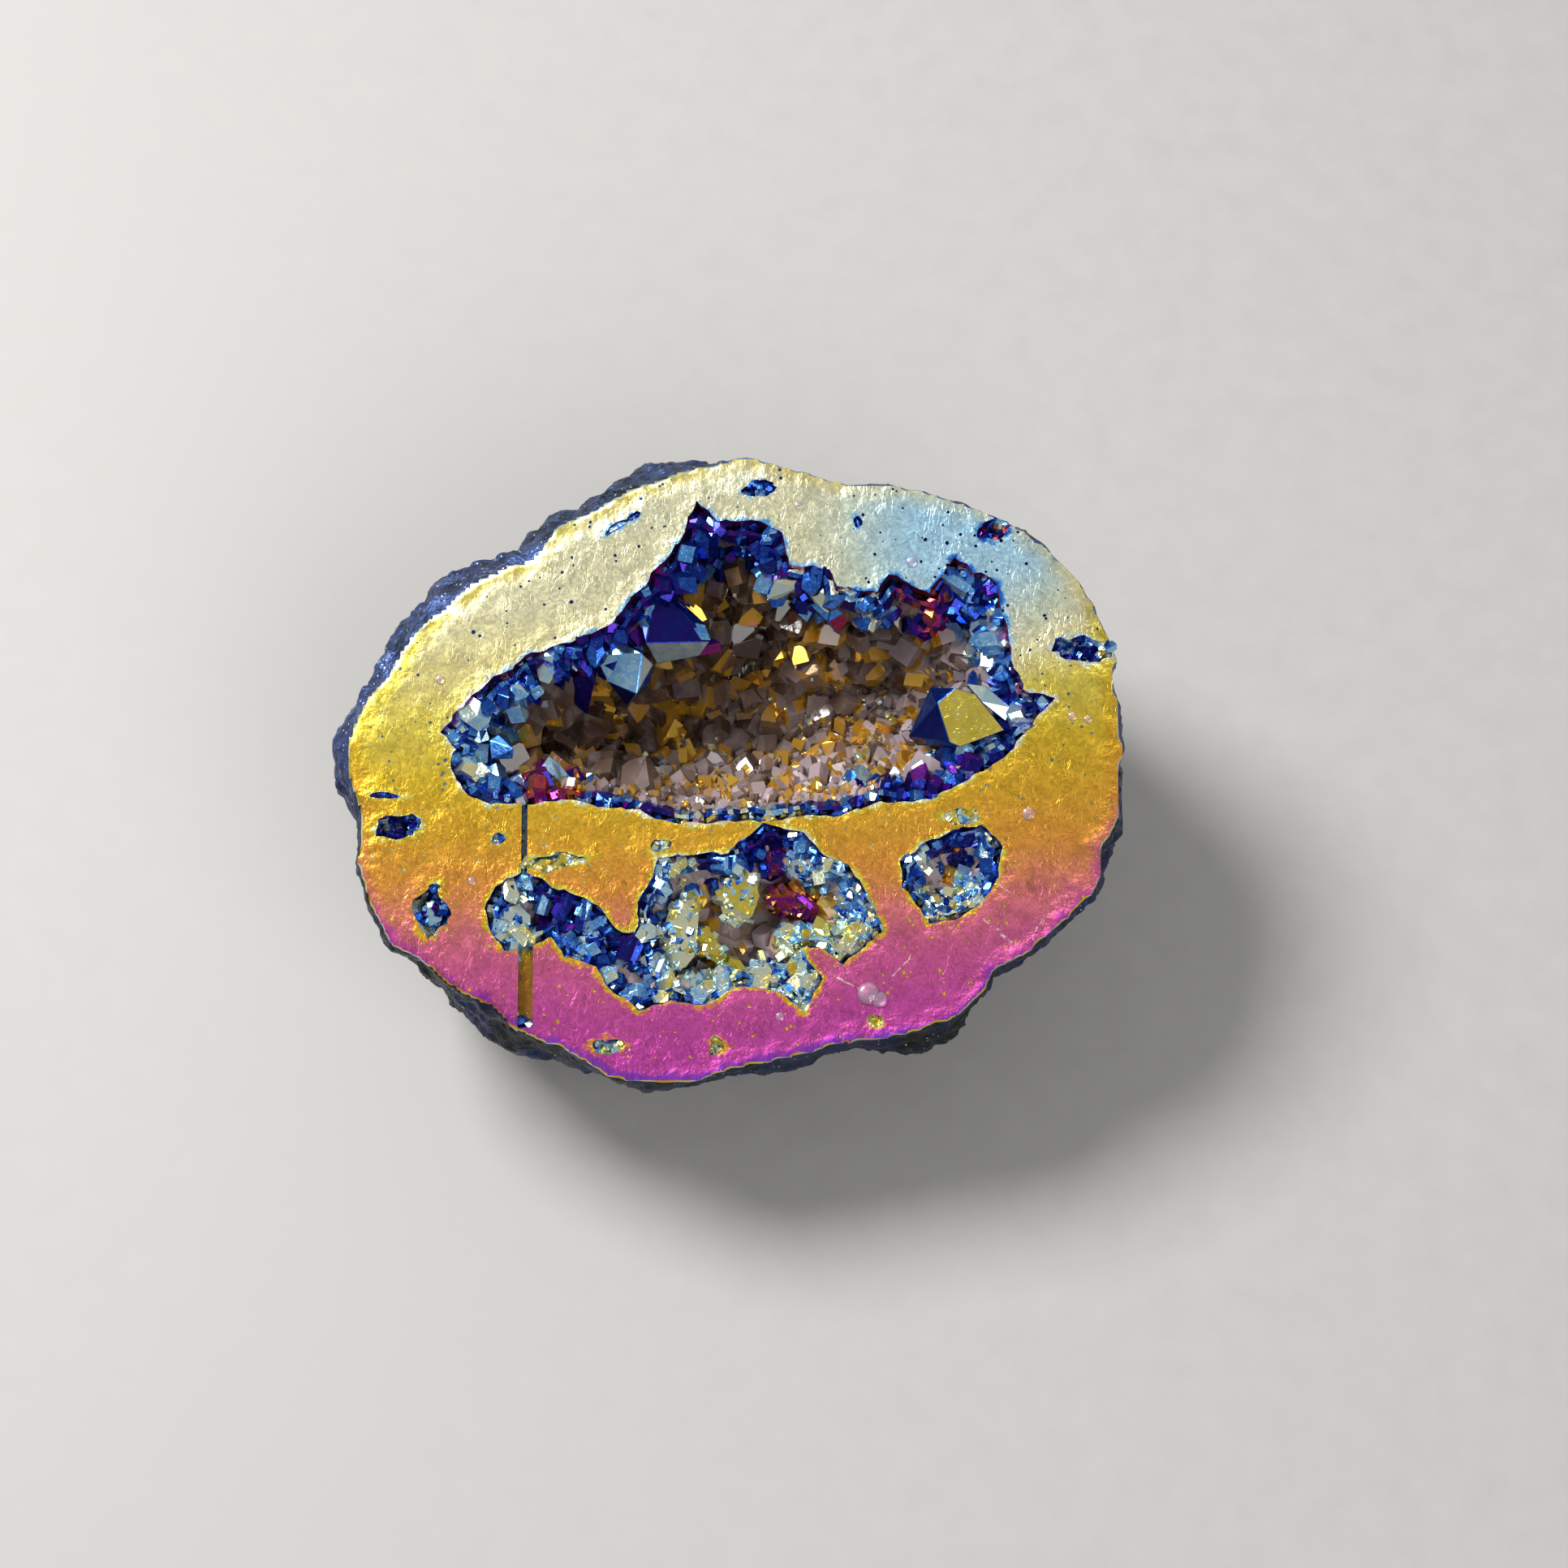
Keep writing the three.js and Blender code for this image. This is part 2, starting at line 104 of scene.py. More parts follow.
# The hollows: each has its mouth, and a heart that its walls close in on. The layer is its level in the
# noise, the closing and the floor share say how fast and how far the walls close in, and the softening
# how many times the outline is smoothed on the way down.
CAVITY = {
    "mouth": [
        (20.5, 4.8), (18.4, 5.2), (17.7, 7.2), (17.2, 10.7), (16.7, 12.6), (15.3, 12.9), (14.1, 13.9),
        (12.5, 11.6), (11.1, 12.2), (9.9, 13.0), (9.1, 11.8), (6.3, 12.0), (5.8, 13.3), (3.2, 13.6),
        (2.8, 15.5), (1.6, 16.4), (-1.6, 16.5), (-2.6, 17.7), (-3.8, 15.2), (-5.0, 13.5), (-6.8, 11.5),
        (-8.4, 9.5), (-11.1, 8.4), (-13.8, 7.5), (-16.1, 5.8), (-17.9, 4.3), (-19.1, 2.5), (-18.2, 1.5),
        (-18.6, 0.1), (-17.8, -1.1), (-16.1, -2.1), (-11.1, -1.8), (-6.8, -2.5), (-3.7, -3.4),
        (0.5, -3.1), (6.8, -2.7), (9.2, -1.9), (12.4, -1.8), (14.0, -0.8), (16.2, 0.4), (17.9, 1.7),
        (19.2, 3.5),
    ],
    "heart": (0.5, 5.2), "depth": 11.5, "closing": 0.45, "floor_share": 0.18, "softening": 10,
    "layer": 0,
}
CHAIN = {
    "mouth": [
        (-16.3, -9.0), (-16.0, -10.2), (-15.2, -11.5), (-13.4, -11.3), (-12.0, -10.7), (-11.2, -12.0),
        (-9.2, -12.7), (-8.2, -14.2), (-6.3, -15.4), (-4.2, -14.7), (-2.1, -15.2), (0.3, -13.7),
        (2.4, -14.2), (4.2, -15.5), (5.2, -13.6), (4.0, -11.5), (5.2, -11.3), (6.8, -12.4), (9.3, -10.4),
        (8.0, -7.6), (7.1, -6.4), (5.3, -5.6), (4.3, -4.1), (1.6, -3.7), (-0.8, -5.5), (-5.2, -5.7),
        (-5.5, -7.1), (-6.4, -8.6), (-6.7, -10.6), (-7.9, -10.4), (-9.1, -8.9), (-12.4, -7.4),
        (-14.0, -6.7), (-15.7, -7.7),
    ],
    "heart": (-2.5, -10.0), "depth": 5.4, "closing": 0.1, "floor_share": 0.78, "softening": 2,
    "layer": 1,
}
ROUND = {
    "mouth": [
        (10.6, -6.0), (10.5, -6.9), (11.3, -8.3), (12.4, -9.8), (14.2, -9.5), (15.8, -8.3), (16.7, -6.7),
        (17.0, -5.1), (15.7, -3.7), (13.8, -4.1), (12.1, -4.8),
    ],
    "heart": (13.8, -6.6), "depth": 5.0, "closing": 0.2, "floor_share": 0.6, "softening": 1,
    "layer": 2,
}
HOLLOWS = [CAVITY, CHAIN, ROUND]
WALL_PARTS = [0.04, 0.12, 0.25, 0.38, 0.5, 0.62, 0.75, 0.84, 0.92, 1.0]
UPRIGHT_PART = 0.25
LAYER_RISE = 0.15
OUTLINE_STEP = 0.4
MOUTH_SLACK = 0.12
CUT_ABOVE = 2
# Waves of the walls, of the pits' own roughness, and of the beds: size, and how many to a millimetre
WALL_WAVES = [(0.28, 0.9), (0.14, 2.7)]
PIT_WAVES = [(1, 1.1), (0.5, 3.1)]
BED_WAVES = [(0.16 * MM, 2.3)]
PIT_ROUGHNESS = 0.6

# The bed of the crust: it stands a gap off the wall, and thickens from its lip down over a depth
CRUST_GAP = 0.35
BED_LIP = 0.1
BED_THICKNESS = 1.0
BED_GROWTH = 2.5
BED_FLOOR_PART = 0.97
BED_WAVES_START = 0.5
# The part of a hollow's depth at which its heart lies, which the bed's inner faces look towards
HEART_PART = 0.4

# What counts as coated stone: the face's skin, and what is near a hollow, a pit or a groove. The pits'
# reach is in parts of their own size.
FACE_SKIN = 0.12
HOLLOW_RIM = 0.5
HOLLOW_BASE = 0.6
PIT_REACH = 1.5
GROOVE_END = 0.2
GROOVE_BASE = 0.1
# How much further from their lips the pits count than the hollows do
PIT_LIP = 0.25

# Open pits: centre, half width, half height, depth, turn in degrees, and the number of quartz points
# in them with their least and most coat
PITS = [
    (-22.0, -3.7, 1.6, 0.8, 1.4, 8, 34, 0.22, 0.46), (-19.8, -9.2, 1.0, 1.8, 1.8, -8, 40, 0.28, 0.48),
    (22.4, 8.0, 2.0, 0.9, 1.0, -6, 40, 0.24, 0.50), (16.7, 16.0, 1.2, 0.7, 0.8, 15, 16, 0.14, 0.38),
    (1.3, 18.7, 1.2, 0.5, 0.7, 12, 12, 0.30, 0.45), (-8.4, -17.9, 1.1, 0.5, 0.7, 0, 10, 0.30, 0.66),
    (-1.3, -17.9, 0.6, 0.6, 0.8, 0, 6, 0.48, 0.68), (-15.5, -4.4, 0.45, 0.4, 0.5, 10, 3, 0.30, 0.50),
    (-12.0, -6.0, 2.2, 0.55, 0.6, 6, 30, 0.50, 0.68), (14.4, -3.0, 1.2, 0.45, 0.5, 0, 14, 0.42, 0.68),
    (-22.9, -1.6, 1.0, 0.25, 0.4, 0, 6, 0.24, 0.40), (-5.0, -4.9, 0.7, 0.4, 0.5, 10, 8, 0.40, 0.62),
    (7.8, 16.5, 0.3, 0.5, 0.4, 20, 0, 0, 0), (8.9, -16.3, 0.5, 0.5, 0.5, 0, 0, 0, 0),
    (-8.0, 16.2, 0.9, 0.25, 0.3, 35, 0, 0, 0), (-6.9, 16.9, 0.5, 0.22, 0.3, 30, 0, 0, 0),
    (11.0, -5.9, 0.4, 0.5, 0.5, 0, 0, 0, 0),
]
# Small clear beads on the face: centre and radius
BEADS = [
    (21.7, 3.6, 0.32), (22.7, 3.4, 0.30), (18.8, -2.8, 0.45), (8.4, -14.5, 0.75), (9.1, -14.9, 0.55),
    (-17.2, -7.2, 0.3), (2.7, -16.0, 0.3), (11.3, 13.8, 0.38), (-19.4, 6.0, 0.32), (3.9, 17.6, 0.25),
]
BEAD_FLATNESS = 0.45
# Fine scratches on the face: both ends and width
SCRATCHES = [
    ((16.8, -5.6), (16.9, -7.5), 0.05), ((16.9, -7.5), (17.6, -8.0), 0.04),
    ((15.8, -9.6), (17.6, -11.2), 0.06), ((11.1, -12.0), (10.0, -13.4), 0.05),
    ((18.9, -11.2), (19.6, -9.6), 0.04), ((6.0, -13.2), (8.0, -14.4), 0.05),
]
# Saw grooves: place across, top, bottom, width and depth
SAW_GROOVES = [(-13.85, -1.5, -6.9, 0.38, 1.0), (-13.7, -10.9, -16.7, 0.95, 0.8)]

# Quartz points, modelled at a radius of 1: the length of the prism, and how far from its middle the
# six end faces lie, which are near and far by turns
QUARTZ_SLOPE = math.radians(51.8)
POINT_KINDS = 6
PRISM_LENGTH = 5
NEAR_ENDS = (0.85, 1.05)
FAR_ENDS = (0.95, 1.5)
KIND_SEED = 4
FLUSH = -0.04
CRYSTAL_BEVEL = 0.05
COPLANAR = math.radians(7)
# How far the tone of one facet may be from its crystal's, on coated and on smoky quartz
COAT_CHANGE = 0.05
TONE_CHANGE = 0.2
BED_SEED = 61

# Druses of the large hollow: number of points, least and most radius, and seed
COATED_DRUSE = (430, 0.32, 0.95, 21)
WALL_DRUSE = (560, 0.42, 1.45, 24)
MILKY_DRUSE = (620, 0.25, 0.85, 25)
LEDGE_DRUSE = (260, 0.16, 0.5, 26)
GLINT_DRUSE = (150, 0.12, 0.35, 27)
GLINT_COATS = [(0, 0, 0.5, 0.7)]
GLINT_LIFT = 0.8
CAVITY_RIM_SEED = 31
# Least and most radius in the small hollows, and their smoky points to each coated one
COATED_SIZES = (0.3, 0.7)
SMOKY_SIZES = (0.4, 1.1)
SMOKY_SHARE = 0.8
RIM_SEED_STEP = 10
SMOKY_SEED_STEP = 20
# Depths of the coat: where the points turn smoky, and where the bed does
CAVITY_COAT_DEPTH = 3.4
VUG_COAT_DEPTH = 2.4
CAVITY_BED_COAT = 1.3
VUG_BED_COAT = 1.2
BED_COAT_SHARE = 0.85
DEEPEST = 20
# The ledge is the large hollow's near wall, and its milky part is at the lower right
LEDGE_START = 0.9
LEDGE_TOP = -0.6
LEDGE_HALF = 13
MILKY_TOP = 2.5
MILKY_LEAN = 0.4
MILKY_LEFT = -6
GLINT_TOP = 6
# Fine points along the sawn edge: first and last angle and spacing in degrees, and seed
EDGE_STRIPS = [(285, 352, 0.55, 41), (228, 285, 1.0, 42), (5, 60, 1.1, 43)]
PIT_SEED = 50
STUD_SEED = 70
STUDS_TO_SQUARE = 6

# How thick the coat lies on the quartz points around each place of the hollows: place, least, most
CAVITY_COATS = [
    (-17.5, 2.5, 0.38, 0.52), (-16.0, 5.0, 0.34, 0.5), (-13.0, 7.0, 0.28, 0.47),
    (-9.0, 9.0, 0.26, 0.42), (-5.0, 13.0, 0.24, 0.4), (-1.0, 16.0, 0.25, 0.38),
    (3.5, 13.5, 0.24, 0.46), (8.0, 12.0, 0.3, 0.56), (12.0, 12.0, 0.14, 0.34),
    (15.5, 12.5, 0.26, 0.46), (17.0, 9.0, 0.36, 0.52), (18.5, 5.0, 0.28, 0.5),
    (17.0, 2.0, 0.3, 0.55), (13.0, -0.5, 0.24, 0.45), (8.0, -2.0, 0.24, 0.5),
    (0.0, -3.0, 0.32, 0.68), (-8.0, -2.0, 0.22, 0.5), (-12.5, -0.6, 0.1, 0.26),
    (-16.0, -1.2, 0.3, 0.5), (-10.0, 4.0, 0.2, 0.34),
]
CHAIN_COATS = [
    (-15.0, -8.0, 0.36, 0.58), (-14.5, -10.5, 0.42, 0.62), (-12.0, -9.0, 0.26, 0.44),
    (-9.5, -10.5, 0.3, 0.5), (-7.5, -13.0, 0.28, 0.46), (-6.0, -14.0, 0.36, 0.52),
    (-4.0, -14.5, 0.38, 0.6), (-1.0, -14.0, 0.45, 0.66), (2.0, -13.5, 0.4, 0.58),
    (4.5, -14.0, 0.44, 0.64), (4.5, -11.5, 0.45, 0.64), (7.5, -11.0, 0.48, 0.68),
    (8.2, -8.5, 0.38, 0.58), (6.5, -6.5, 0.4, 0.62), (4.0, -4.8, 0.32, 0.5),
    (1.5, -4.3, 0.26, 0.37), (-1.0, -6.0, 0.28, 0.46), (-4.5, -6.2, 0.4, 0.64),
    (-6.0, -9.0, 0.34, 0.56), (3.0, -8.5, 0.1, 0.22),
]
ROUND_COATS = [
    (11.0, -6.5, 0.34, 0.62), (13.8, -4.5, 0.28, 0.42), (16.3, -5.5, 0.38, 0.52),
    (14.5, -9.0, 0.36, 0.68),
]

# The crystals that stand out, each with how thick its coat lies and its corners
COATED_CRYSTALS = {
    "big_navy": (0.31, [
        (-5.4, 12.6, -1.5), (-4.4, 12.2, -2.2), (-2.2, 10.1, -2.0), (-1.9, 8.8, -1.4),
        (-6.1, 8.6, -0.9), (-6.6, 10.8, -1.5), (-5.4, 7.6, -2.9), (-2.6, 8.1, -2.7), (-5.0, 12.1, -7),
        (-2.7, 9.9, -7), (-5.8, 9.3, -6.5),
    ]),
    "cyan_sliver": (0.44, [
        (-5.4, 12.3, -1.2), (-6.9, 10.6, -1.1), (-6.2, 9.8, -1.1), (-5.5, 11.0, -1.3), (-5.9, 11.0, -4),
    ]),
    "lilac_sliver": (0.46, [
        (-3.3, 10.2, -1.5), (-2.2, 10.0, -1.7), (-1.8, 8.9, -1.3), (-2.5, 8.9, -1.2), (-2.6, 9.5, -4),
    ]),
    "teal": (0.4, [
        (-9.4, 7.8, -1.3), (-8.3, 9.1, -1.4), (-6.3, 7.9, -0.8), (-5.6, 7.4, -1.9), (-5.8, 6.4, -2.7),
        (-6.7, 5.4, -1.9), (-7.4, 4.9, -3.8), (-8.6, 6.3, -2.3), (-8.2, 9.0, -6), (-6.3, 7.6, -6),
    ]),
    "violet_between": (0.26, [
        (-6.9, 10.6, -1.6), (-5.9, 10.0, -1.9), (-5.8, 9.1, -2.1), (-6.5, 8.4, -1.4),
        (-7.4, 9.3, -1.5), (-6.8, 10.0, -4),
    ]),
    "purple_right": (0.22, [
        (-2.5, 9.6, -2.9), (-1.2, 9.0, -2.6), (-1.1, 8.4, -3.0), (-2.5, 8.2, -3.4), (-3.2, 8.8, -3.2),
        (-2.4, 9.5, -6),
    ]),
    "navy_tip": (0.29, [
        (-10.9, 6.5, -2.0), (-9.9, 6.8, -1.7), (-9.5, 6.1, -2.4), (-10.0, 4.4, -4.2),
        (-10.8, 5.0, -3.8), (-10.3, 6.7, -7),
    ]),
    "silver": (0.5, [
        (1.8, 11.7, -1.8), (2.3, 12.7, -0.9), (3.3, 13.4, -0.5), (4.5, 13.8, -0.5), (4.8, 12.9, -0.6),
        (3.9, 12.3, -1.0), (2.6, 11.7, -2.0), (3.2, 13.5, -5), (4.2, 13.3, -5),
    ]),
    "pale_green": (0.53, [
        (4.3, 12.3, -0.7), (5.3, 13.0, -0.5), (6.5, 12.6, -0.6), (6.6, 11.5, -1.0), (5.8, 10.7, -1.6),
        (4.9, 11.4, -1.4), (5.5, 12.5, -5),
    ]),
    "blue_red": (0.36, [
        (4.6, 11.3, -1.6), (5.8, 10.2, -1.9), (6.5, 9.7, -3.2), (7.9, 11.0, -2.8), (8.2, 11.5, -1.6),
        (6.3, 11.8, -0.9), (5.8, 11.6, -6), (7.3, 11.7, -6),
    ]),
    "blue_facet": (0.42, [
        (12.8, 10.2, -2.2), (14.3, 10.2, -2.0), (14.9, 9.5, -2.6), (14.3, 8.7, -3.6),
        (13.3, 9.2, -3.3), (13.8, 10.3, -6),
    ]),
    "dark_top_1": (0.24, [
        (9.1, 12.3, -1.0), (10.4, 12.7, -1.0), (10.6, 11.6, -2.2), (10.0, 11.0, -3.4),
        (9.3, 11.4, -2.8), (9.9, 12.4, -6),
    ]),
    "dark_top_2": (0.14, [
        (10.4, 12.0, -1.2), (12.1, 12.4, -1.2), (12.6, 11.3, -2.2), (12.0, 10.1, -3.8),
        (10.9, 10.6, -3.4), (11.5, 12.1, -7),
    ]),
    "dark_top_3": (0.25, [
        (12.4, 12.2, -1.2), (13.8, 13.5, -0.8), (14.5, 12.0, -1.4), (14.2, 10.4, -3.2),
        (13.1, 10.7, -3.2), (13.4, 12.3, -7),
    ]),
    "gold_topped": (0.33, [
        (12.9, 4.5, -0.12), (14.1, 5.5, -0.12), (15.4, 5.1, -0.12), (17.3, 2.7, -0.12),
        (14.4, 1.6, -0.12), (13.7, 1.9, -0.12), (11.1, 2.8, -3.2), (12.2, 4.8, -2.4),
        (11.7, 2.3, -3.8), (12.5, 5.8, -1.6), (14.2, 4.8, -7), (16.6, 4.2, -6), (12.6, 4.0, -7),
    ]),
    "pale_shoulder": (0.47, [
        (14.8, 5.9, -0.6), (16.1, 5.7, -0.5), (17.7, 4.3, -0.6), (17.4, 3.4, -0.8), (15.8, 4.6, -0.3),
        (16.6, 5.3, -6),
    ]),
    "blue_drop": (0.38, [
        (-16.3, 2.3, -1.6), (-15.7, 2.7, -1.6), (-14.7, 1.8, -2.0), (-14.8, 1.2, -2.4),
        (-16.2, 1.1, -2.2), (-15.7, 2.3, -5),
    ]),
    "white_block": (0.53, [
        (-18.2, -0.3, -0.7), (-17.6, 0.4, -0.5), (-16.7, 0.7, -0.5), (-16.0, 0.1, -0.7),
        (-16.3, -0.5, -1.0), (-17.2, -0.7, -1.0), (-17.1, 0.4, -4),
    ]),
    "rough_blue": (0.43, [
        (-12.9, 0.6, -1.8), (-12.4, 1.3, -1.6), (-11.6, 0.6, -1.6), (-10.9, -0.2, -1.8),
        (-11.6, -0.5, -2.0), (-12.5, 0.1, -2.2), (-11.9, 0.8, -5),
    ]),
    "notch_blue": (0.36, [
        (-18.0, -0.8, -0.8), (-16.3, -1.2, -0.6), (-15.4, -1.8, -0.8), (-16.0, -2.2, -1.0),
        (-17.1, -1.8, -1.0), (-16.7, -1.1, -3),
    ]),
    "chain_white": (0.47, [
        (-15.2, -8.9, -0.6), (-14.2, -8.6, -0.5), (-13.4, -9.4, -0.5), (-13.4, -11.1, -0.6),
        (-14.2, -11.7, -0.8), (-15.3, -11.1, -0.9), (-15.4, -10.0, -1.0), (-14.4, -9.4, -5),
    ]),
    "chain_prism": (0.38, [
        (-13.2, -8.1, -0.8), (-12.3, -7.8, -0.6), (-11.6, -8.1, -0.8), (-11.7, -8.7, -1.4),
        (-12.7, -8.7, -1.6), (-12.3, -7.8, -4),
    ]),
    "chain_striped": (0.36, [
        (-12.1, -9.5, -1.0), (-11.4, -9.3, -0.9), (-11.1, -10.0, -1.1), (-11.5, -10.5, -1.4),
        (-12.1, -10.2, -1.4), (-11.6, -9.4, -4),
    ]),
    "chain_block": (0.42, [
        (-10.4, -9.1, -1.2), (-9.7, -9.1, -0.7), (-8.3, -10.5, -0.6), (-8.4, -11.2, -1.0),
        (-8.9, -11.5, -1.4), (-10.3, -10.7, -1.4), (-10.0, -9.4, -4.5), (-8.8, -10.0, -4.5),
    ]),
    "chain_cream": (0.55, [
        (-4.3, -8.4, -0.9), (-3.4, -8.3, -0.5), (-2.5, -9.0, -0.4), (-2.7, -10.2, -0.5),
        (-2.8, -12.0, -0.6), (-3.4, -12.7, -1.0), (-4.5, -12.9, -1.6), (-5.5, -12.5, -2.0),
        (-5.2, -11.0, -1.4), (-4.6, -9.7, -1.0), (-3.7, -9.9, -5), (-3.9, -11.5, -5),
    ]),
    "chain_yellow": (0.64, [
        (-2.8, -10.3, -0.8), (-2.0, -10.1, -0.6), (-1.4, -10.9, -0.8), (-0.7, -12.0, -1.0),
        (-1.2, -12.5, -1.6), (-2.0, -11.9, -1.6), (-2.7, -11.7, -1.2), (-2.1, -10.8, -4.5),
    ]),
    "chain_rough": (0.45, [
        (-6.9, -12.3, -1.4), (-5.8, -11.7, -0.8), (-4.9, -12.1, -0.8), (-4.1, -13.8, -1.0),
        (-4.7, -14.2, -1.6), (-6.2, -13.9, -2.0), (-6.8, -13.0, -2.0), (-5.5, -12.4, -4.5),
    ]),
    "chain_round": (0.59, [
        (-0.3, -6.2, -0.9), (0.4, -6.1, -0.7), (1.1, -7.0, -0.5), (1.4, -8.1, -0.6), (0.9, -9.4, -1.1),
        (-0.1, -10.1, -1.9), (-0.9, -9.6, -1.7), (-1.3, -8.4, -0.9), (-0.9, -7.2, -0.7),
        (0.0, -7.5, -4.8),
    ]),
    "chain_navy": (0.32, [
        (0.2, -5.7, -1.8), (0.6, -4.4, -1.2), (1.8, -3.5, -0.9), (2.6, -3.7, -0.8), (3.1, -4.4, -1.0),
        (2.7, -5.7, -1.6), (1.5, -6.7, -2.6), (1.6, -4.3, -5),
    ]),
    "chain_violet": (0.28, [
        (1.5, -6.8, -1.6), (1.8, -5.3, -1.0), (2.6, -4.8, -0.8), (3.3, -5.5, -1.0), (2.9, -6.6, -1.6),
        (2.1, -7.0, -2.2), (2.4, -5.4, -4.8),
    ]),
    "chain_ice": (0.47, [
        (2.9, -5.9, -0.7), (3.9, -5.7, -0.4), (4.7, -5.9, -0.6), (5.1, -6.7, -0.8), (4.6, -7.4, -1.6),
        (3.7, -7.3, -1.6), (3.1, -6.7, -1.4), (3.9, -5.9, -4.8),
    ]),
    "chain_loop": (0.38, [
        (3.3, -4.7, -0.6), (4.3, -4.6, -0.5), (5.3, -5.2, -0.6), (5.2, -5.9, -0.9), (4.2, -5.5, -1.6),
        (3.4, -5.2, -1.4), (4.3, -4.7, -4),
    ]),
    "chain_magenta": (0.15, [
        (1.6, -8.1, -1.4), (2.6, -7.4, -0.9), (4.2, -8.0, -0.8), (5.3, -8.8, -1.1), (5.1, -9.5, -1.8),
        (3.4, -9.5, -2.2), (2.1, -9.0, -2.0), (3.4, -8.0, -5),
    ]),
    "chain_pillar": (0.44, [
        (6.4, -8.1, -0.8), (7.1, -7.8, -0.6), (7.8, -8.8, -0.6), (8.0, -9.8, -0.8), (7.4, -11.0, -1.2),
        (6.7, -9.9, -1.6), (7.1, -8.6, -4.5),
    ]),
    "chain_corner": (0.6, [
        (7.3, -9.8, -0.7), (8.2, -9.6, -0.5), (8.6, -10.4, -0.5), (8.0, -11.1, -0.7),
        (7.3, -11.4, -0.9), (6.9, -10.6, -1.2), (7.8, -9.9, -4),
    ]),
    "chain_green": (0.59, [
        (2.4, -10.3, -1.0), (3.2, -9.8, -0.6), (4.3, -10.3, -0.6), (4.4, -11.1, -0.8),
        (3.6, -11.8, -1.2), (2.5, -11.9, -1.4), (2.2, -11.1, -1.6), (3.3, -10.2, -4.5),
    ]),
    "chain_bar": (0.47, [
        (0.1, -12.8, -1.4), (1.6, -12.4, -0.7), (3.3, -12.5, -0.6), (4.2, -13.0, -0.8),
        (3.9, -13.6, -1.2), (2.1, -13.6, -1.4), (0.6, -13.2, -1.6), (2.2, -12.5, -4),
    ]),
    "chain_foot": (0.46, [
        (3.7, -13.5, -0.7), (4.5, -13.3, -0.5), (5.2, -14.2, -0.6), (4.9, -14.9, -0.8),
        (4.0, -14.8, -1.2), (3.5, -14.0, -1.4), (4.3, -13.6, -4),
    ]),
    "chain_tooth": (0.43, [
        (-1.2, -12.9, -0.9), (-0.5, -12.7, -0.7), (-0.2, -13.3, -0.8), (-0.7, -13.8, -1.2),
        (-1.4, -13.6, -1.4), (-0.7, -12.9, -3.5),
    ]),
    "chain_lip": (0.56, [
        (-2.3, -13.6, -0.5), (-1.5, -13.5, -0.4), (-1.2, -14.5, -0.4), (-1.6, -15.4, -0.5),
        (-2.3, -15.2, -0.8), (-2.6, -14.3, -1.0), (-2.0, -14.0, -3.5),
    ]),
    "vug_navy": (0.31, [
        (13.1, -5.2, -1.2), (13.7, -4.4, -0.7), (14.4, -4.7, -0.7), (14.7, -5.7, -1.2),
        (14.2, -6.5, -2.4), (13.4, -6.2, -2.2), (13.9, -4.9, -4.5),
    ]),
    "vug_ice": (0.46, [
        (15.1, -4.4, -0.6), (15.9, -4.3, -0.5), (16.6, -5.2, -0.6), (16.4, -6.0, -1.0),
        (15.6, -5.5, -1.4), (15.8, -4.7, -3.5),
    ]),
    "vug_foot": (0.5, [
        (12.6, -8.3, -0.9), (14.0, -8.1, -0.8), (14.8, -7.6, -0.8), (14.5, -8.5, -1.2),
        (13.5, -9.0, -1.2), (13.8, -8.0, -3.5),
    ]),
    "pit_crystal": (0.42, [
        (-20.5, -8.8, -0.7), (-19.8, -8.3, -0.5), (-19.1, -8.8, -0.6), (-19.2, -9.7, -0.9),
        (-20.0, -10.1, -1.1), (-20.5, -9.5, -1.1), (-19.8, -8.9, -2.2),
    ]),
}
SMOKY_CRYSTALS = {
    "smoky_left": (0.45, [
        (-13.6, 6.2, -1.6), (-11.6, 6.9, -1.6), (-10.7, 6.5, -2.2), (-10.9, 4.7, -3.6),
        (-13.4, 4.7, -3.4), (-13.8, 5.5, -2.6), (-12.5, 6.5, -7), (-11.3, 6.5, -7),
    ]),
    "brown_wedge": (0.45, [
        (10.6, 0.2, -3.4), (11.6, 1.6, -1.8), (12.6, 1.2, -1.6), (13.5, 0.6, -1.6), (13.2, -0.5, -2.0),
        (12.3, -0.6, -2.2), (11.1, -0.1, -3.0), (12.1, 1.1, -7),
    ]),
    "vug_smoky": (0.45, [
        (11.3, -6.3, -1.4), (12.2, -5.5, -1.0), (13.2, -6.0, -1.4), (13.3, -7.3, -2.2),
        (12.2, -8.1, -2.4), (11.3, -7.5, -2.0), (12.3, -6.3, -4.5),
    ]),
}

# Facets that stand out on those crystals, with painted highlight, reflection and shade on top of their
# coat: the way they face, and how thick their coat lies
FACET_LIGHT_TONES = {
    "big_navy": [((0, -1, 0.5), 0.49), ((-1, 0.2, 0.6), 0.43), ((1, 0, 0.2), 0.24)],
    "teal": [((1, -0.5, 0.5), 0.5), ((0, -1, 0), 0.3)],
    "gold_topped": [((0, 0, 1), 0.62), ((-1, 0, 0.5), 0.31)],
    "pale_shoulder": [((0.3, 0.3, 1), 0.47)],
    "blue_red": [((-0.7, -0.4, 0.6), 0.41), ((0.6, -0.7, 0.3), 0.17)],
    "chain_block": [((-0.3, -1, 0.6), 0.48)],
    "dark_top_3": [((-1, 0, 0.5), 0.4)],
}


def at_face(u, v, w):
    """A place in the face's frame, in metres."""
    return Vector((u, v, w)) * MM


def deselect():
    bpy.ops.object.select_all(action="DESELECT")


def only(piece):
    deselect()
    piece.select_set(True)
    bpy.context.view_layer.objects.active = piece


def rounded(place):
    return tuple(round(part, 7) for part in place)


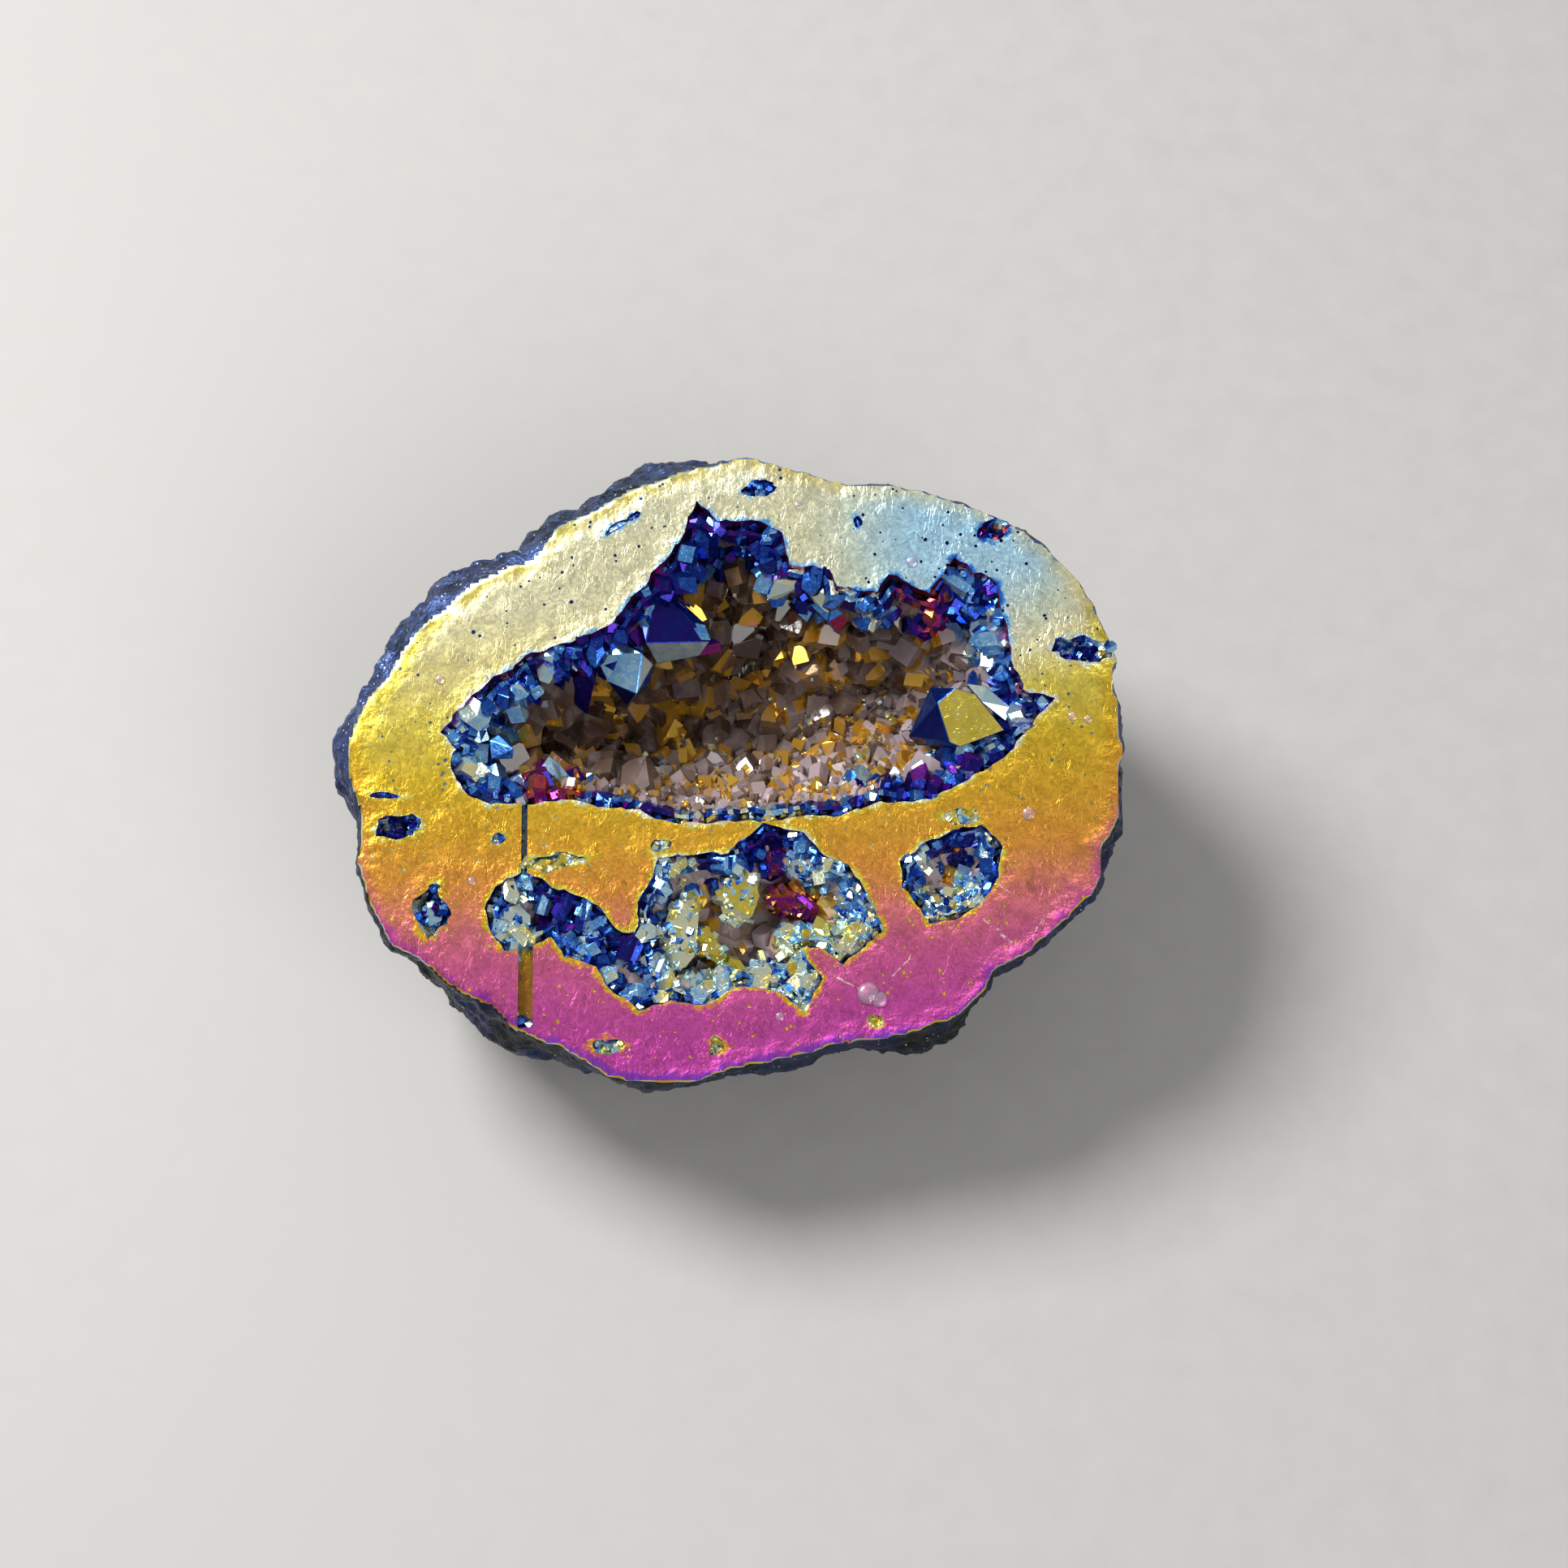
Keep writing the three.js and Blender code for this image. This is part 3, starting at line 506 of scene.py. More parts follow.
def in_order(faces):
    """Faces sorted by where they are, so that every run hands out the same tones."""
    return sorted(faces, key=lambda face: rounded(face.center))


def give_tones(piece, tones):
    """Keeps a tone for each face of a piece, in the faces' sorted order."""
    if "tone" not in piece.data.attributes:
        piece.data.attributes.new("tone", "FLOAT", "FACE")
    values = piece.data.attributes["tone"].data
    for face, tone in zip(in_order(piece.data.polygons), tones):
        values[face.index].value = min(1, max(0, tone))


def finished_modifier(piece, kind, **settings):
    """Adds a modifier and applies it."""
    only(piece)
    bpy.ops.object.modifier_add(type=kind)
    modifier = piece.modifiers[-1]
    for name, value in settings.items():
        setattr(modifier, name, value)
    bpy.ops.object.modifier_apply(modifier=modifier.name)


def apply_place():
    """Puts the selected pieces' place, turn and scale into their meshes."""
    bpy.ops.object.transform_apply(location=True, rotation=True, scale=True)


def joined(pieces, name):
    deselect()
    for piece in pieces:
        piece.select_set(True)
    bpy.context.view_layer.objects.active = pieces[0]
    bpy.ops.object.join()
    whole = bpy.context.object
    whole.name = name
    apply_place()
    return whole


def settle(piece):
    """Moves a piece from the face's frame to the part's, with its place in its mesh."""
    only(piece)
    piece.matrix_world = FACE_TO_PART
    apply_place()


def places_of(piece):
    """Where the corners of a piece's mesh are, one to a row."""
    places = np.zeros(3 * len(piece.data.vertices))
    piece.data.vertices.foreach_get("co", places)
    return places.reshape(-1, 3)


def lofted(name, rings):
    """A closed solid through rings of equal counts, extruded ring by ring from a filled circle."""
    deselect()
    bpy.ops.mesh.primitive_circle_add(vertices=len(rings[0]), radius=MM, fill_type="NGON")
    solid = bpy.context.object
    solid.name = name
    solid.data.vertices.foreach_set("co", np.ravel(rings[0]))
    for ring in rings[1:]:
        bpy.ops.object.mode_set(mode="EDIT")
        bpy.ops.mesh.extrude_region_move()
        bpy.ops.object.mode_set(mode="OBJECT")
        corners = [vertex for vertex in solid.data.vertices if vertex.select]
        for corner, place in zip(corners, ring):
            corner.co = place
    bpy.ops.object.mode_set(mode="EDIT")
    bpy.ops.mesh.select_all(action="SELECT")
    bpy.ops.mesh.normals_make_consistent(inside=False)
    bpy.ops.object.mode_set(mode="OBJECT")
    return solid


def subtract(piece, cutter):
    finished_modifier(piece, "BOOLEAN", operation="DIFFERENCE", solver="MANIFOLD", object=cutter)
    bpy.data.objects.remove(cutter)


def ragged(place, waves):
    """A shift that changes from place to place, by waves of noise of a size and a rate."""
    return sum((size * noise.noise_vector(place * rate) for size, rate in waves), Vector())


# Outlines and lofts of the stone


def lump_at(x, y, z):
    coarse = math.sin(1.1 * x + 1.3 * math.sin(0.9 * y + z)) * math.sin(1.2 * y + 0.7 - 0.8 * z)
    middle = math.sin(2.3 * x - 1.7 * y + 2.1) * math.sin(0.6 * x + 1.9 * y + 2.1 * z)
    fine = math.sin(4.3 * x + 3.1 * z) * math.sin(4.7 * y - 1.3 * x + 0.4)
    return 0.5 * coarse + 0.3 * middle + 0.2 * fine


def reach(angle):
    """How far the face reaches from u = v = 0, at an angle in degrees."""
    corners = sorted((math.degrees(math.atan2(v, u)) % 360, math.hypot(u, v)) for u, v in FACE_OUTLINE)
    angles, reaches = zip(*corners)
    return float(np.interp(angle % 360, angles, reaches, period=360))


def swelling(angle):
    total = 0
    for towards, spread, size in SWELLINGS:
        off = (angle - towards + 180) % 360 - 180
        total += size * math.exp(-((off / spread) ** 2))
    return total


def rind_ring(depth, swollen, width):
    """The rind's outline at a depth, with a part of its swelling and of its width."""
    ring = []
    for i in range(RIND_SEGMENTS):
        angle = 360 * i / RIND_SEGMENTS
        u = math.cos(math.radians(angle))
        v = math.sin(math.radians(angle))
        r = (reach(angle) + swollen * swelling(angle)) * width
        lump = LUMP_HEIGHT * lump_at(u * r / LUMP_SIZE, v * r / LUMP_SIZE, depth / LUMP_SIZE)
        grown = r + lump * min(1, depth / WAIST_DEPTH) * width
        nicks = [size * noise.noise(Vector((u * r, v * r, level)) * rate) for size, rate, level in NICKS]
        grown += sum(nicks) * width
        ring.append(at_face(u * grown, v * grown + KEEL_SHIFT * (1 - width), -depth))
    return ring


def softened(outline, passes):
    """An outline whose corners are drawn towards their neighbours, a number of times."""
    for _ in range(passes):
        before = outline[-1:] + outline[:-1]
        after = outline[1:] + outline[:1]
        outline = [
            ((a[0] + 2 * b[0] + c[0]) / 4, (a[1] + 2 * b[1] + c[1]) / 4)
            for a, b, c in zip(before, outline, after)
        ]
    return outline


def inset(outline, distance):
    """An outline with every side moved inwards."""
    moved = []
    for i, here in enumerate(outline):
        here = Vector(here)
        before = (here - Vector(outline[i - 1])).normalized()
        after = (Vector(outline[(i + 1) % len(outline)]) - here).normalized()
        inward = Vector((-before.y - after.y, before.x + after.x)).normalized()
        square = max(0.4, inward.dot(Vector((-after.y, after.x))))
        moved.append(tuple(here + inward * distance / square))
    return moved


def fine_outline(mouth, outline, level):
    """A ragged outline with the same corner count at every depth, as the mouth's own sides give."""
    fine = []
    for i, (u0, v0) in enumerate(mouth):
        u1, v1 = mouth[(i + 1) % len(mouth)]
        steps = max(1, round(math.hypot(u1 - u0, v1 - v0) / OUTLINE_STEP))
        start = Vector(outline[i])
        end = Vector(outline[(i + 1) % len(outline)])
        for k in range(steps):
            place = start.lerp(end, k / steps)
            shift = ragged(Vector((place.x, place.y, level)), WALL_WAVES)
            fine.append((place.x + shift.x, place.y + shift.y))
    return fine


def hollow_ring(hollow, part, gap, w=None):
    """The outline of a hollow at a part of its depth, and a gap in from its wall."""
    upright = part <= UPRIGHT_PART
    passes = 0 if upright else round(hollow["softening"] * part)
    share = 1 if upright else max(hollow["floor_share"], (1 - part**2) ** hollow["closing"])
    heart = Vector(hollow["heart"])
    outline = inset(softened(hollow["mouth"], passes), gap)
    level = hollow["layer"] + LAYER_RISE * part * hollow["depth"]
    floor = hollow["depth"] - gap
    ring = []
    for u, v in fine_outline(hollow["mouth"], outline, level):
        place = heart.lerp(Vector((u, v)), share)
        ring.append(at_face(place.x, place.y, -floor * part if w is None else w))
    return ring


def distance_to_outline(places, outline):
    """The distance from each place to the nearest side of an outline."""
    nearest = np.full(len(places), np.inf)
    for start, end in zip(outline, outline[1:] + outline[:1]):
        start = np.array(start)
        along = np.array(end) - start
        part = np.clip((places - start) @ along / (along @ along), 0, 1)
        nearest = np.minimum(nearest, np.linalg.norm(places - start - part[:, None] * along, axis=1))
    return nearest


def within(places, outline):
    """Whether each place lies inside an outline."""
    inside = np.zeros(len(places), dtype=bool)
    for (u0, v0), (u1, v1) in zip(outline, outline[1:] + outline[:1]):
        spans = (v0 > places[:, 1]) != (v1 > places[:, 1])
        crossing = u0 + (u1 - u0) * (places[:, 1] - v0) / (v1 - v0 if v1 != v0 else 1)
        inside ^= spans & (places[:, 0] < crossing)
    return inside


def coated_faces(stone):
    """Whether each face of the stone is of the saw cut or of what is cut into it, not of the rind."""
    centres = np.array([INTO_FACE @ face.center for face in stone.data.polygons]) / MM
    u, v, w = centres.T
    coated = w > -FACE_SKIN
    for hollow in HOLLOWS:
        near = within(centres[:, :2], inset(hollow["mouth"], -HOLLOW_RIM))
        coated |= near & (w > -hollow["depth"] - HOLLOW_BASE)
    for pit_u, pit_v, width, height, depth, *_ in PITS:
        near = np.hypot((u - pit_u) / width, (v - pit_v) / height) < PIT_REACH
        coated |= near & (w > -PIT_REACH * depth)
    for groove_u, top, bottom, width, depth in SAW_GROOVES:
        near = (np.abs(u - groove_u) < width) & (v < top + GROOVE_END) & (v > bottom - GROOVE_END)
        coated |= near & (w > -depth - GROOVE_BASE)
    return coated


def measure_edges(stone):
    """Keeps, at each corner of the stone, how far it is in u and v from the rind and from a hollow."""
    places = places_of(stone)[:, :2] / MM
    lips = [distance_to_outline(places, hollow["mouth"]) for hollow in HOLLOWS]
    for u, v, width, height, _, turn, *_ in PITS:
        across = (places - np.array((u, v))) @ np.array(Matrix.Rotation(math.radians(turn), 2))
        out = np.hypot(across[:, 0] / width, across[:, 1] / height) - 1
        lips.append(np.maximum(0, out) * min(width, height) + PIT_LIP)
    edge = distance_to_outline(places, FACE_OUTLINE)
    for name, distances in [("edge_distance", edge), ("lip_distance", np.min(lips, axis=0))]:
        stone.data.attributes.new(name, "FLOAT", "POINT")
        stone.data.attributes[name].data.foreach_set("value", distances)


def whole_stone():
    """The stone before anything is cut from it: a lumpy dome of rind under the level face."""
    rings = [rind_ring(part * WAIST_DEPTH, swollen, 1) for part, swollen in EDGE_RINGS]
    for k in range(RIND_RINGS):
        swing = k / RIND_RINGS * math.pi / 2
        depth = WAIST_DEPTH + (STONE_DEPTH - WAIST_DEPTH) * math.sin(swing)
        rings.append(rind_ring(depth, 1, math.cos(swing) ** DOME_FULLNESS))
    stone = lofted("cut_stone", rings)
    finished_modifier(stone, "REMESH", mode="VOXEL", voxel_size=RIND_VOXEL * MM)
    return stone


def roughen(stone):
    """Raises the grain of the rind, and leaves the face level."""
    below = stone.vertex_groups.new(name="below_face")
    for vertex in stone.data.vertices:
        depth = -vertex.co.z / MM
        below.add([vertex.index], min(1, max(0, (depth - GRAIN_START) / GRAIN_GROWTH)), "REPLACE")
    for size, height in RIND_GRAINS:
        grain = bpy.data.textures.new(f"rind_{size}", type="CLOUDS")
        grain.noise_scale = size * MM
        grain.noise_depth = 2
        finished_modifier(
            stone, "DISPLACE", texture=grain, texture_coords="LOCAL", strength=height * MM,
            mid_level=0.5, vertex_group="below_face",
        )


def carve(stone):
    """Cuts the hollows, the pits and the saw grooves from the face."""
    for hollow in HOLLOWS:
        rings = [hollow_ring(hollow, 0, -MOUTH_SLACK, w=w) for w in (CUT_ABOVE, 0)]
        rings += [hollow_ring(hollow, part, 0) for part in WALL_PARTS]
        subtract(stone, lofted("space", rings))
    for u, v, width, height, depth, turn, *_ in PITS:
        deselect()
        bpy.ops.mesh.primitive_ico_sphere_add(subdivisions=3, radius=MM)
        pit = bpy.context.object
        pit.scale = (width, height, depth)
        pit.rotation_euler.z = math.radians(turn)
        pit.location = at_face(u, v, 0)
        apply_place()
        for vertex in pit.data.vertices:
            rough = ragged(vertex.co / MM, PIT_WAVES)
            vertex.co += PIT_ROUGHNESS * min(width, height) * MM * rough
        subtract(stone, pit)
    for u, top, bottom, width, depth in SAW_GROOVES:
        deselect()
        middle = at_face(u, (top + bottom) / 2, (CUT_ABOVE - depth) / 2)
        bpy.ops.mesh.primitive_cube_add(size=MM, location=middle)
        groove = bpy.context.object
        groove.scale = (width, top - bottom, CUT_ABOVE + depth)
        apply_place()
        subtract(stone, groove)


def cut_stone():
    """The stone: a lumpy rind, with the hollows, pits and saw grooves cut from its face."""
    stone = whole_stone()
    roughen(stone)
    carve(stone)
    measure_edges(stone)
    settle(stone)
    lowest = np.array(cad_low) + BOX_MARGIN * MM
    highest = np.array(cad_high) - BOX_MARGIN * MM
    stone.data.vertices.foreach_set("co", np.clip(places_of(stone), lowest, highest).ravel())
    only(stone)
    bpy.ops.object.shade_smooth_by_angle(angle=SMOOTH_ANGLE)
    return stone


# Quartz


def jitter(stream, most):
    """A random vector with each of its parts up to a most."""
    return Vector([stream.uniform(-most, most) for _ in range(3)])


def quartz_kinds():
    """Quartz points of unit radius: a hexagonal prism cut by six sloping end faces."""
    kinds = []
    stream = random.Random(KIND_SEED)
    for kind in range(POINT_KINDS):
        deselect()
        bpy.ops.mesh.primitive_cylinder_add(vertices=6, radius=1, depth=PRISM_LENGTH)
        point = bpy.context.object
        point.name = f"quartz_kind_{kind}"
        bpy.ops.object.mode_set(mode="EDIT")
        for side in range(6):
            turn = math.radians(30 + 60 * side)
            slope = Vector((math.cos(turn), math.sin(turn), 0)) * math.sin(QUARTZ_SLOPE)
            slope.z = math.cos(QUARTZ_SLOPE)
            end = slope * stream.uniform(*(NEAR_ENDS if side % 2 else FAR_ENDS))
            bpy.ops.mesh.select_all(action="SELECT")
            bpy.ops.mesh.bisect(plane_co=end, plane_no=slope, use_fill=True, clear_outer=True)
        bpy.ops.object.mode_set(mode="OBJECT")
        give_tones(point, [0] * len(point.data.polygons))
        kinds.append(point)
    return kinds


def grow(kinds, stream, place, axis, radius, own, change=COAT_CHANGE, length=1):
    """A copy of one quartz point, standing at a place along an axis, with a tone for each facet."""
    kind = stream.choice(kinds)
    point = kind.copy()
    point.data = kind.data.copy()
    bpy.context.collection.objects.link(point)
    size = radius * MM
    spin = Matrix.Rotation(stream.uniform(0, math.tau), 4, "Z")
    stand = axis.to_track_quat("Z", "Y").to_matrix().to_4x4()
    stretch = Matrix.Diagonal((size, size, size * length, 1))
    point.matrix_world = Matrix.Translation(place) @ stand @ spin @ stretch
    give_tones(point, [own + stream.uniform(-change, change) for _ in point.data.polygons])
    return point


def coat_at(coats, place, stream):
    """How thick the coat lies on a point, by the nearest of a hollow's places."""
    u, v, _ = place / MM
    *_, least, most = min(coats, key=lambda coat: math.hypot(coat[0] - u, coat[1] - v))
    return stream.uniform(least, most)


def crust_bed(name, hollow):
    """A bowl that lines a hollow, from a feather edge near the face to a thick floor."""
    outer = [hollow_ring(hollow, part, CRUST_GAP) for part in reversed(WALL_PARTS)]
    inner = []
    for part in WALL_PARTS:
        thickness = BED_LIP + BED_THICKNESS * min(1, part * hollow["depth"] / BED_GROWTH)
        inner.append(hollow_ring(hollow, part if part < 1 else BED_FLOOR_PART, CRUST_GAP + thickness))
    bed = lofted(name, outer + inner)
    for vertex in bed.data.vertices:
        if vertex.co.z < -BED_WAVES_START * MM:
            vertex.co += ragged(vertex.co / MM, BED_WAVES)
    return bed


BedFace = namedtuple("BedFace", "centre normal area corners")


def faces_inside(bed, hollow, shallowest, deepest):
    """The faces on the inner side of a bed, between two depths."""
    inner = []
    for face in bed.data.polygons:
        towards = at_face(*hollow["heart"], -HEART_PART * hollow["depth"]) - face.center
        if face.normal.dot(towards) > 0 and shallowest <= -face.center.z / MM < deepest:
            corners = sorted((bed.data.vertices[i].co.copy() for i in face.vertices), key=rounded)
            inner.append(BedFace(face.center.copy(), face.normal.copy(), face.area, corners))
    return sorted(inner, key=lambda face: rounded(face.centre))


def druse(kinds, faces, count, smallest, biggest, seed, coats=None):
    """Quartz points all over some faces of a bed: smoky ones, or coated by a hollow's places."""
    stream = random.Random(seed)
    points = []
    for face in stream.choices(faces, weights=[face.area for face in faces], k=count):
        place = face.centre.lerp(stream.choice(face.corners), math.sqrt(stream.random()))
        radius = smallest + (biggest - smallest) * stream.random() ** 1.8
        lean = jitter(stream, 1) * 0.45
        axis = (face.normal + lean + Vector((0, 0, 0.25))).normalized()
        slide = jitter(stream, 0.3) * MM
        own = coat_at(coats, place, stream) if coats else stream.random() ** 0.8
        change = COAT_CHANGE if coats else TONE_CHANGE
        length = stream.uniform(0.8, 1.3)
        points.append(grow(kinds, stream, place + slide, axis, radius, own, change, length))
    return points


def rim_points(kinds, hollow, seed, coats):
    """Fine quartz points crowded under the lip of a hollow, leaning in over it."""
    stream = random.Random(seed)
    ring = hollow_ring(hollow, 0, 0.1, w=0)
    points = []
    for before, here, after in zip(ring[-1:] + ring[:-1], ring, ring[1:] + ring[:1]):
        along = (after - before).normalized()
        inward = Vector((-along.y, along.x, 0))
        for _ in range(stream.choice([1, 2, 2])):
            radius = stream.uniform(0.2, 0.52)
            down = Vector((0, 0, -stream.uniform(0.5, 1.9) * MM))
            slide = jitter(stream, 0.2) * MM
            lean = jitter(stream, 0.5)
            axis = inward * stream.uniform(0.2, 0.9) + Vector((0, 0, stream.uniform(0.3, 1.1))) + lean
            own = coat_at(coats, here, stream)
            points.append(grow(kinds, stream, here + down + slide, axis.normalized(), radius, own))
    return points


def pit_points(kinds, pit, seed):
    """Small quartz points over the floor of a pit."""
    stream = random.Random(seed)
    u, v, width, height, depth, turn, count, least, most = pit
    points = []
    for _ in range(count):
        angle = stream.uniform(0, math.tau)
        out = math.sqrt(stream.random()) * 0.95
        across = Vector((width * out * math.cos(angle), height * out * math.sin(angle)))
        across = Matrix.Rotation(math.radians(turn), 2) @ across
        down = depth * math.sqrt(1 - out**2)
        place = at_face(u + across.x, v + across.y, -down)
        axis = Vector((-across.x / width, -across.y / height, 1.2)) + jitter(stream, 0.5)
        edge = reach(math.degrees(math.atan2(place.y, place.x)))
        if place.xy.length < (edge - 0.5) * MM:
            own = stream.uniform(least, most)
            radius = stream.uniform(0.16, 0.4)
            points.append(grow(kinds, stream, place, axis.normalized(), radius, own))
    return points


def studs(kinds, crystal, tone, seed):
    """Small quartz points grown over the upper faces of a big crystal."""
    stream = random.Random(seed)
    faces = [face for face in in_order(crystal.data.polygons) if face.normal.z > 0.05]
    count = round(sum(face.area for face in faces) / MM**2 * STUDS_TO_SQUARE)
    points = []
    for face in stream.choices(faces, weights=[face.area for face in faces], k=count):
        corners = sorted((crystal.data.vertices[i].co for i in face.vertices), key=rounded)
        weights = [stream.random() ** 3 for _ in corners]
        summed = sum((corner * weight for corner, weight in zip(corners, weights)), Vector())
        axis = face.normal + jitter(stream, 0.7)
        radius = stream.uniform(0.15, 0.4)
        place = summed / sum(weights) - face.normal * radius * 0.8 * MM
        own = tone + stream.uniform(-0.19, 0.08)
        points.append(grow(kinds, stream, place, axis.normalized(), radius, own))
    return points


def edge_points(kinds, first, last, spacing, seed):
    """Fine quartz points along the sawn edge of the rind, between two angles in degrees."""
    stream = random.Random(seed)
    points = []
    angle = first
    while angle < last:
        r = reach(angle) - stream.uniform(0.45, 0.9)
        out = Vector((math.cos(math.radians(angle)), math.sin(math.radians(angle)), 0))
        place = out * r * MM + Vector((0, 0, -stream.uniform(0.3, 1.0) * MM))
        axis = out * stream.uniform(0, 0.5) + Vector((0, 0, 1)) + jitter(stream, 0.3)
        own = stream.uniform(0.22, 0.68)
        radius = stream.uniform(0.14, 0.34)
        points.append(grow(kinds, stream, place, axis.normalized(), radius, own))
        angle += spacing * stream.uniform(0.4, 1.6)
    return points


def clear_of(points, crystals):
    """The points that don't stand within one of the big crystals, seen from above."""
    taken = []
    for crystal in crystals:
        tops = [corner.co for corner in crystal.data.vertices if corner.co.z > -4 * MM]
        middle = sum(tops, Vector()) / len(tops)
        size = sum((corner - middle).xy.length for corner in tops) / len(tops)
        taken.append((middle, 0.75 * size))
    kept = []
    for point in points:
        here = point.matrix_world.translation
        if any((here - middle).xy.length < size for middle, size in taken):
            bpy.data.objects.remove(point)
        else:
            kept.append(point)
    return kept


def beads():
    """Small flattened beads that stand a little out of the face."""
    made = []
    for u, v, radius in BEADS:
        deselect()
        place = at_face(u, v, 0)
        bpy.ops.mesh.primitive_ico_sphere_add(subdivisions=3, radius=radius * MM, location=place)
        bead = bpy.context.object
        bead.scale.z = BEAD_FLATNESS
        bpy.ops.object.shade_smooth()
        made.append(bead)
    return made


def cut_flush(piece):
    """Levels what stands above the saw cut."""
    for vertex in piece.data.vertices:
        vertex.co.z = min(vertex.co.z, FLUSH * MM)


def facetted(name, tone, corners):
    """One big crystal with flat facets: the hull of given corners."""
    stream = random.Random(name)
    deselect()
    bpy.ops.mesh.primitive_circle_add(vertices=len(corners), radius=MM)
    crystal = bpy.context.object
    crystal.name = name
    crystal.data.vertices.foreach_set("co", np.ravel([at_face(*corner) for corner in corners]))
    bpy.ops.object.mode_set(mode="EDIT")
    bpy.ops.mesh.select_all(action="SELECT")
    bpy.ops.mesh.convex_hull()
    bpy.ops.mesh.select_all(action="SELECT")
    bpy.ops.mesh.dissolve_limited(angle_limit=COPLANAR)
    bpy.ops.mesh.select_all(action="SELECT")
    bpy.ops.mesh.bevel(offset=CRYSTAL_BEVEL * MM, segments=1)
    bpy.ops.mesh.normals_make_consistent(inside=False)
    bpy.ops.object.mode_set(mode="OBJECT")
    facets = in_order(crystal.data.polygons)
    tones = [tone + stream.uniform(-COAT_CHANGE, COAT_CHANGE) for _ in facets]
    # Facets facing these ways take a tone that paints the highlight, reflection and shade that they
    # catch
    for towards, own in FACET_LIGHT_TONES.get(name, []):
        towards = Vector(towards).normalized()
        closeness = [face.normal.dot(towards) * face.area**0.25 for face in facets]
        tones[closeness.index(max(closeness))] = own
    give_tones(crystal, tones)
    return crystal


# Finishes


def paint(code):
    """A colour from its sRGB code, as linear red, green, blue and alpha."""
    parts = [int(code[i : i + 2], 16) / 255 for i in (1, 3, 5)]
    return [c / 12.92 if c <= 0.04045 else ((c + 0.055) / 1.055) ** 2.4 for c in parts] + [1]


class Signal:
    """A socket's value, with arithmetic that adds Math nodes."""

    def __init__(self, finish, socket):
        self.finish = finish
        self.socket = socket

    def math(self, operation, *others):
        return self.finish.add("ShaderNodeMath", {"operation": operation}, [self, *others])

    def __add__(self, other):
        return self.math("ADD", other)

    def __mul__(self, other):
        return self.math("MULTIPLY", other)

    def __sub__(self, other):
        return self.math("SUBTRACT", other)

    def __rsub__(self, other):
        return self.finish.add("ShaderNodeMath", {"operation": "SUBTRACT"}, [other, self])

    def __truediv__(self, other):
        return self.math("DIVIDE", other)

    def absolute(self):
        return self.math("ABSOLUTE")

    __radd__ = __add__
    __rmul__ = __mul__


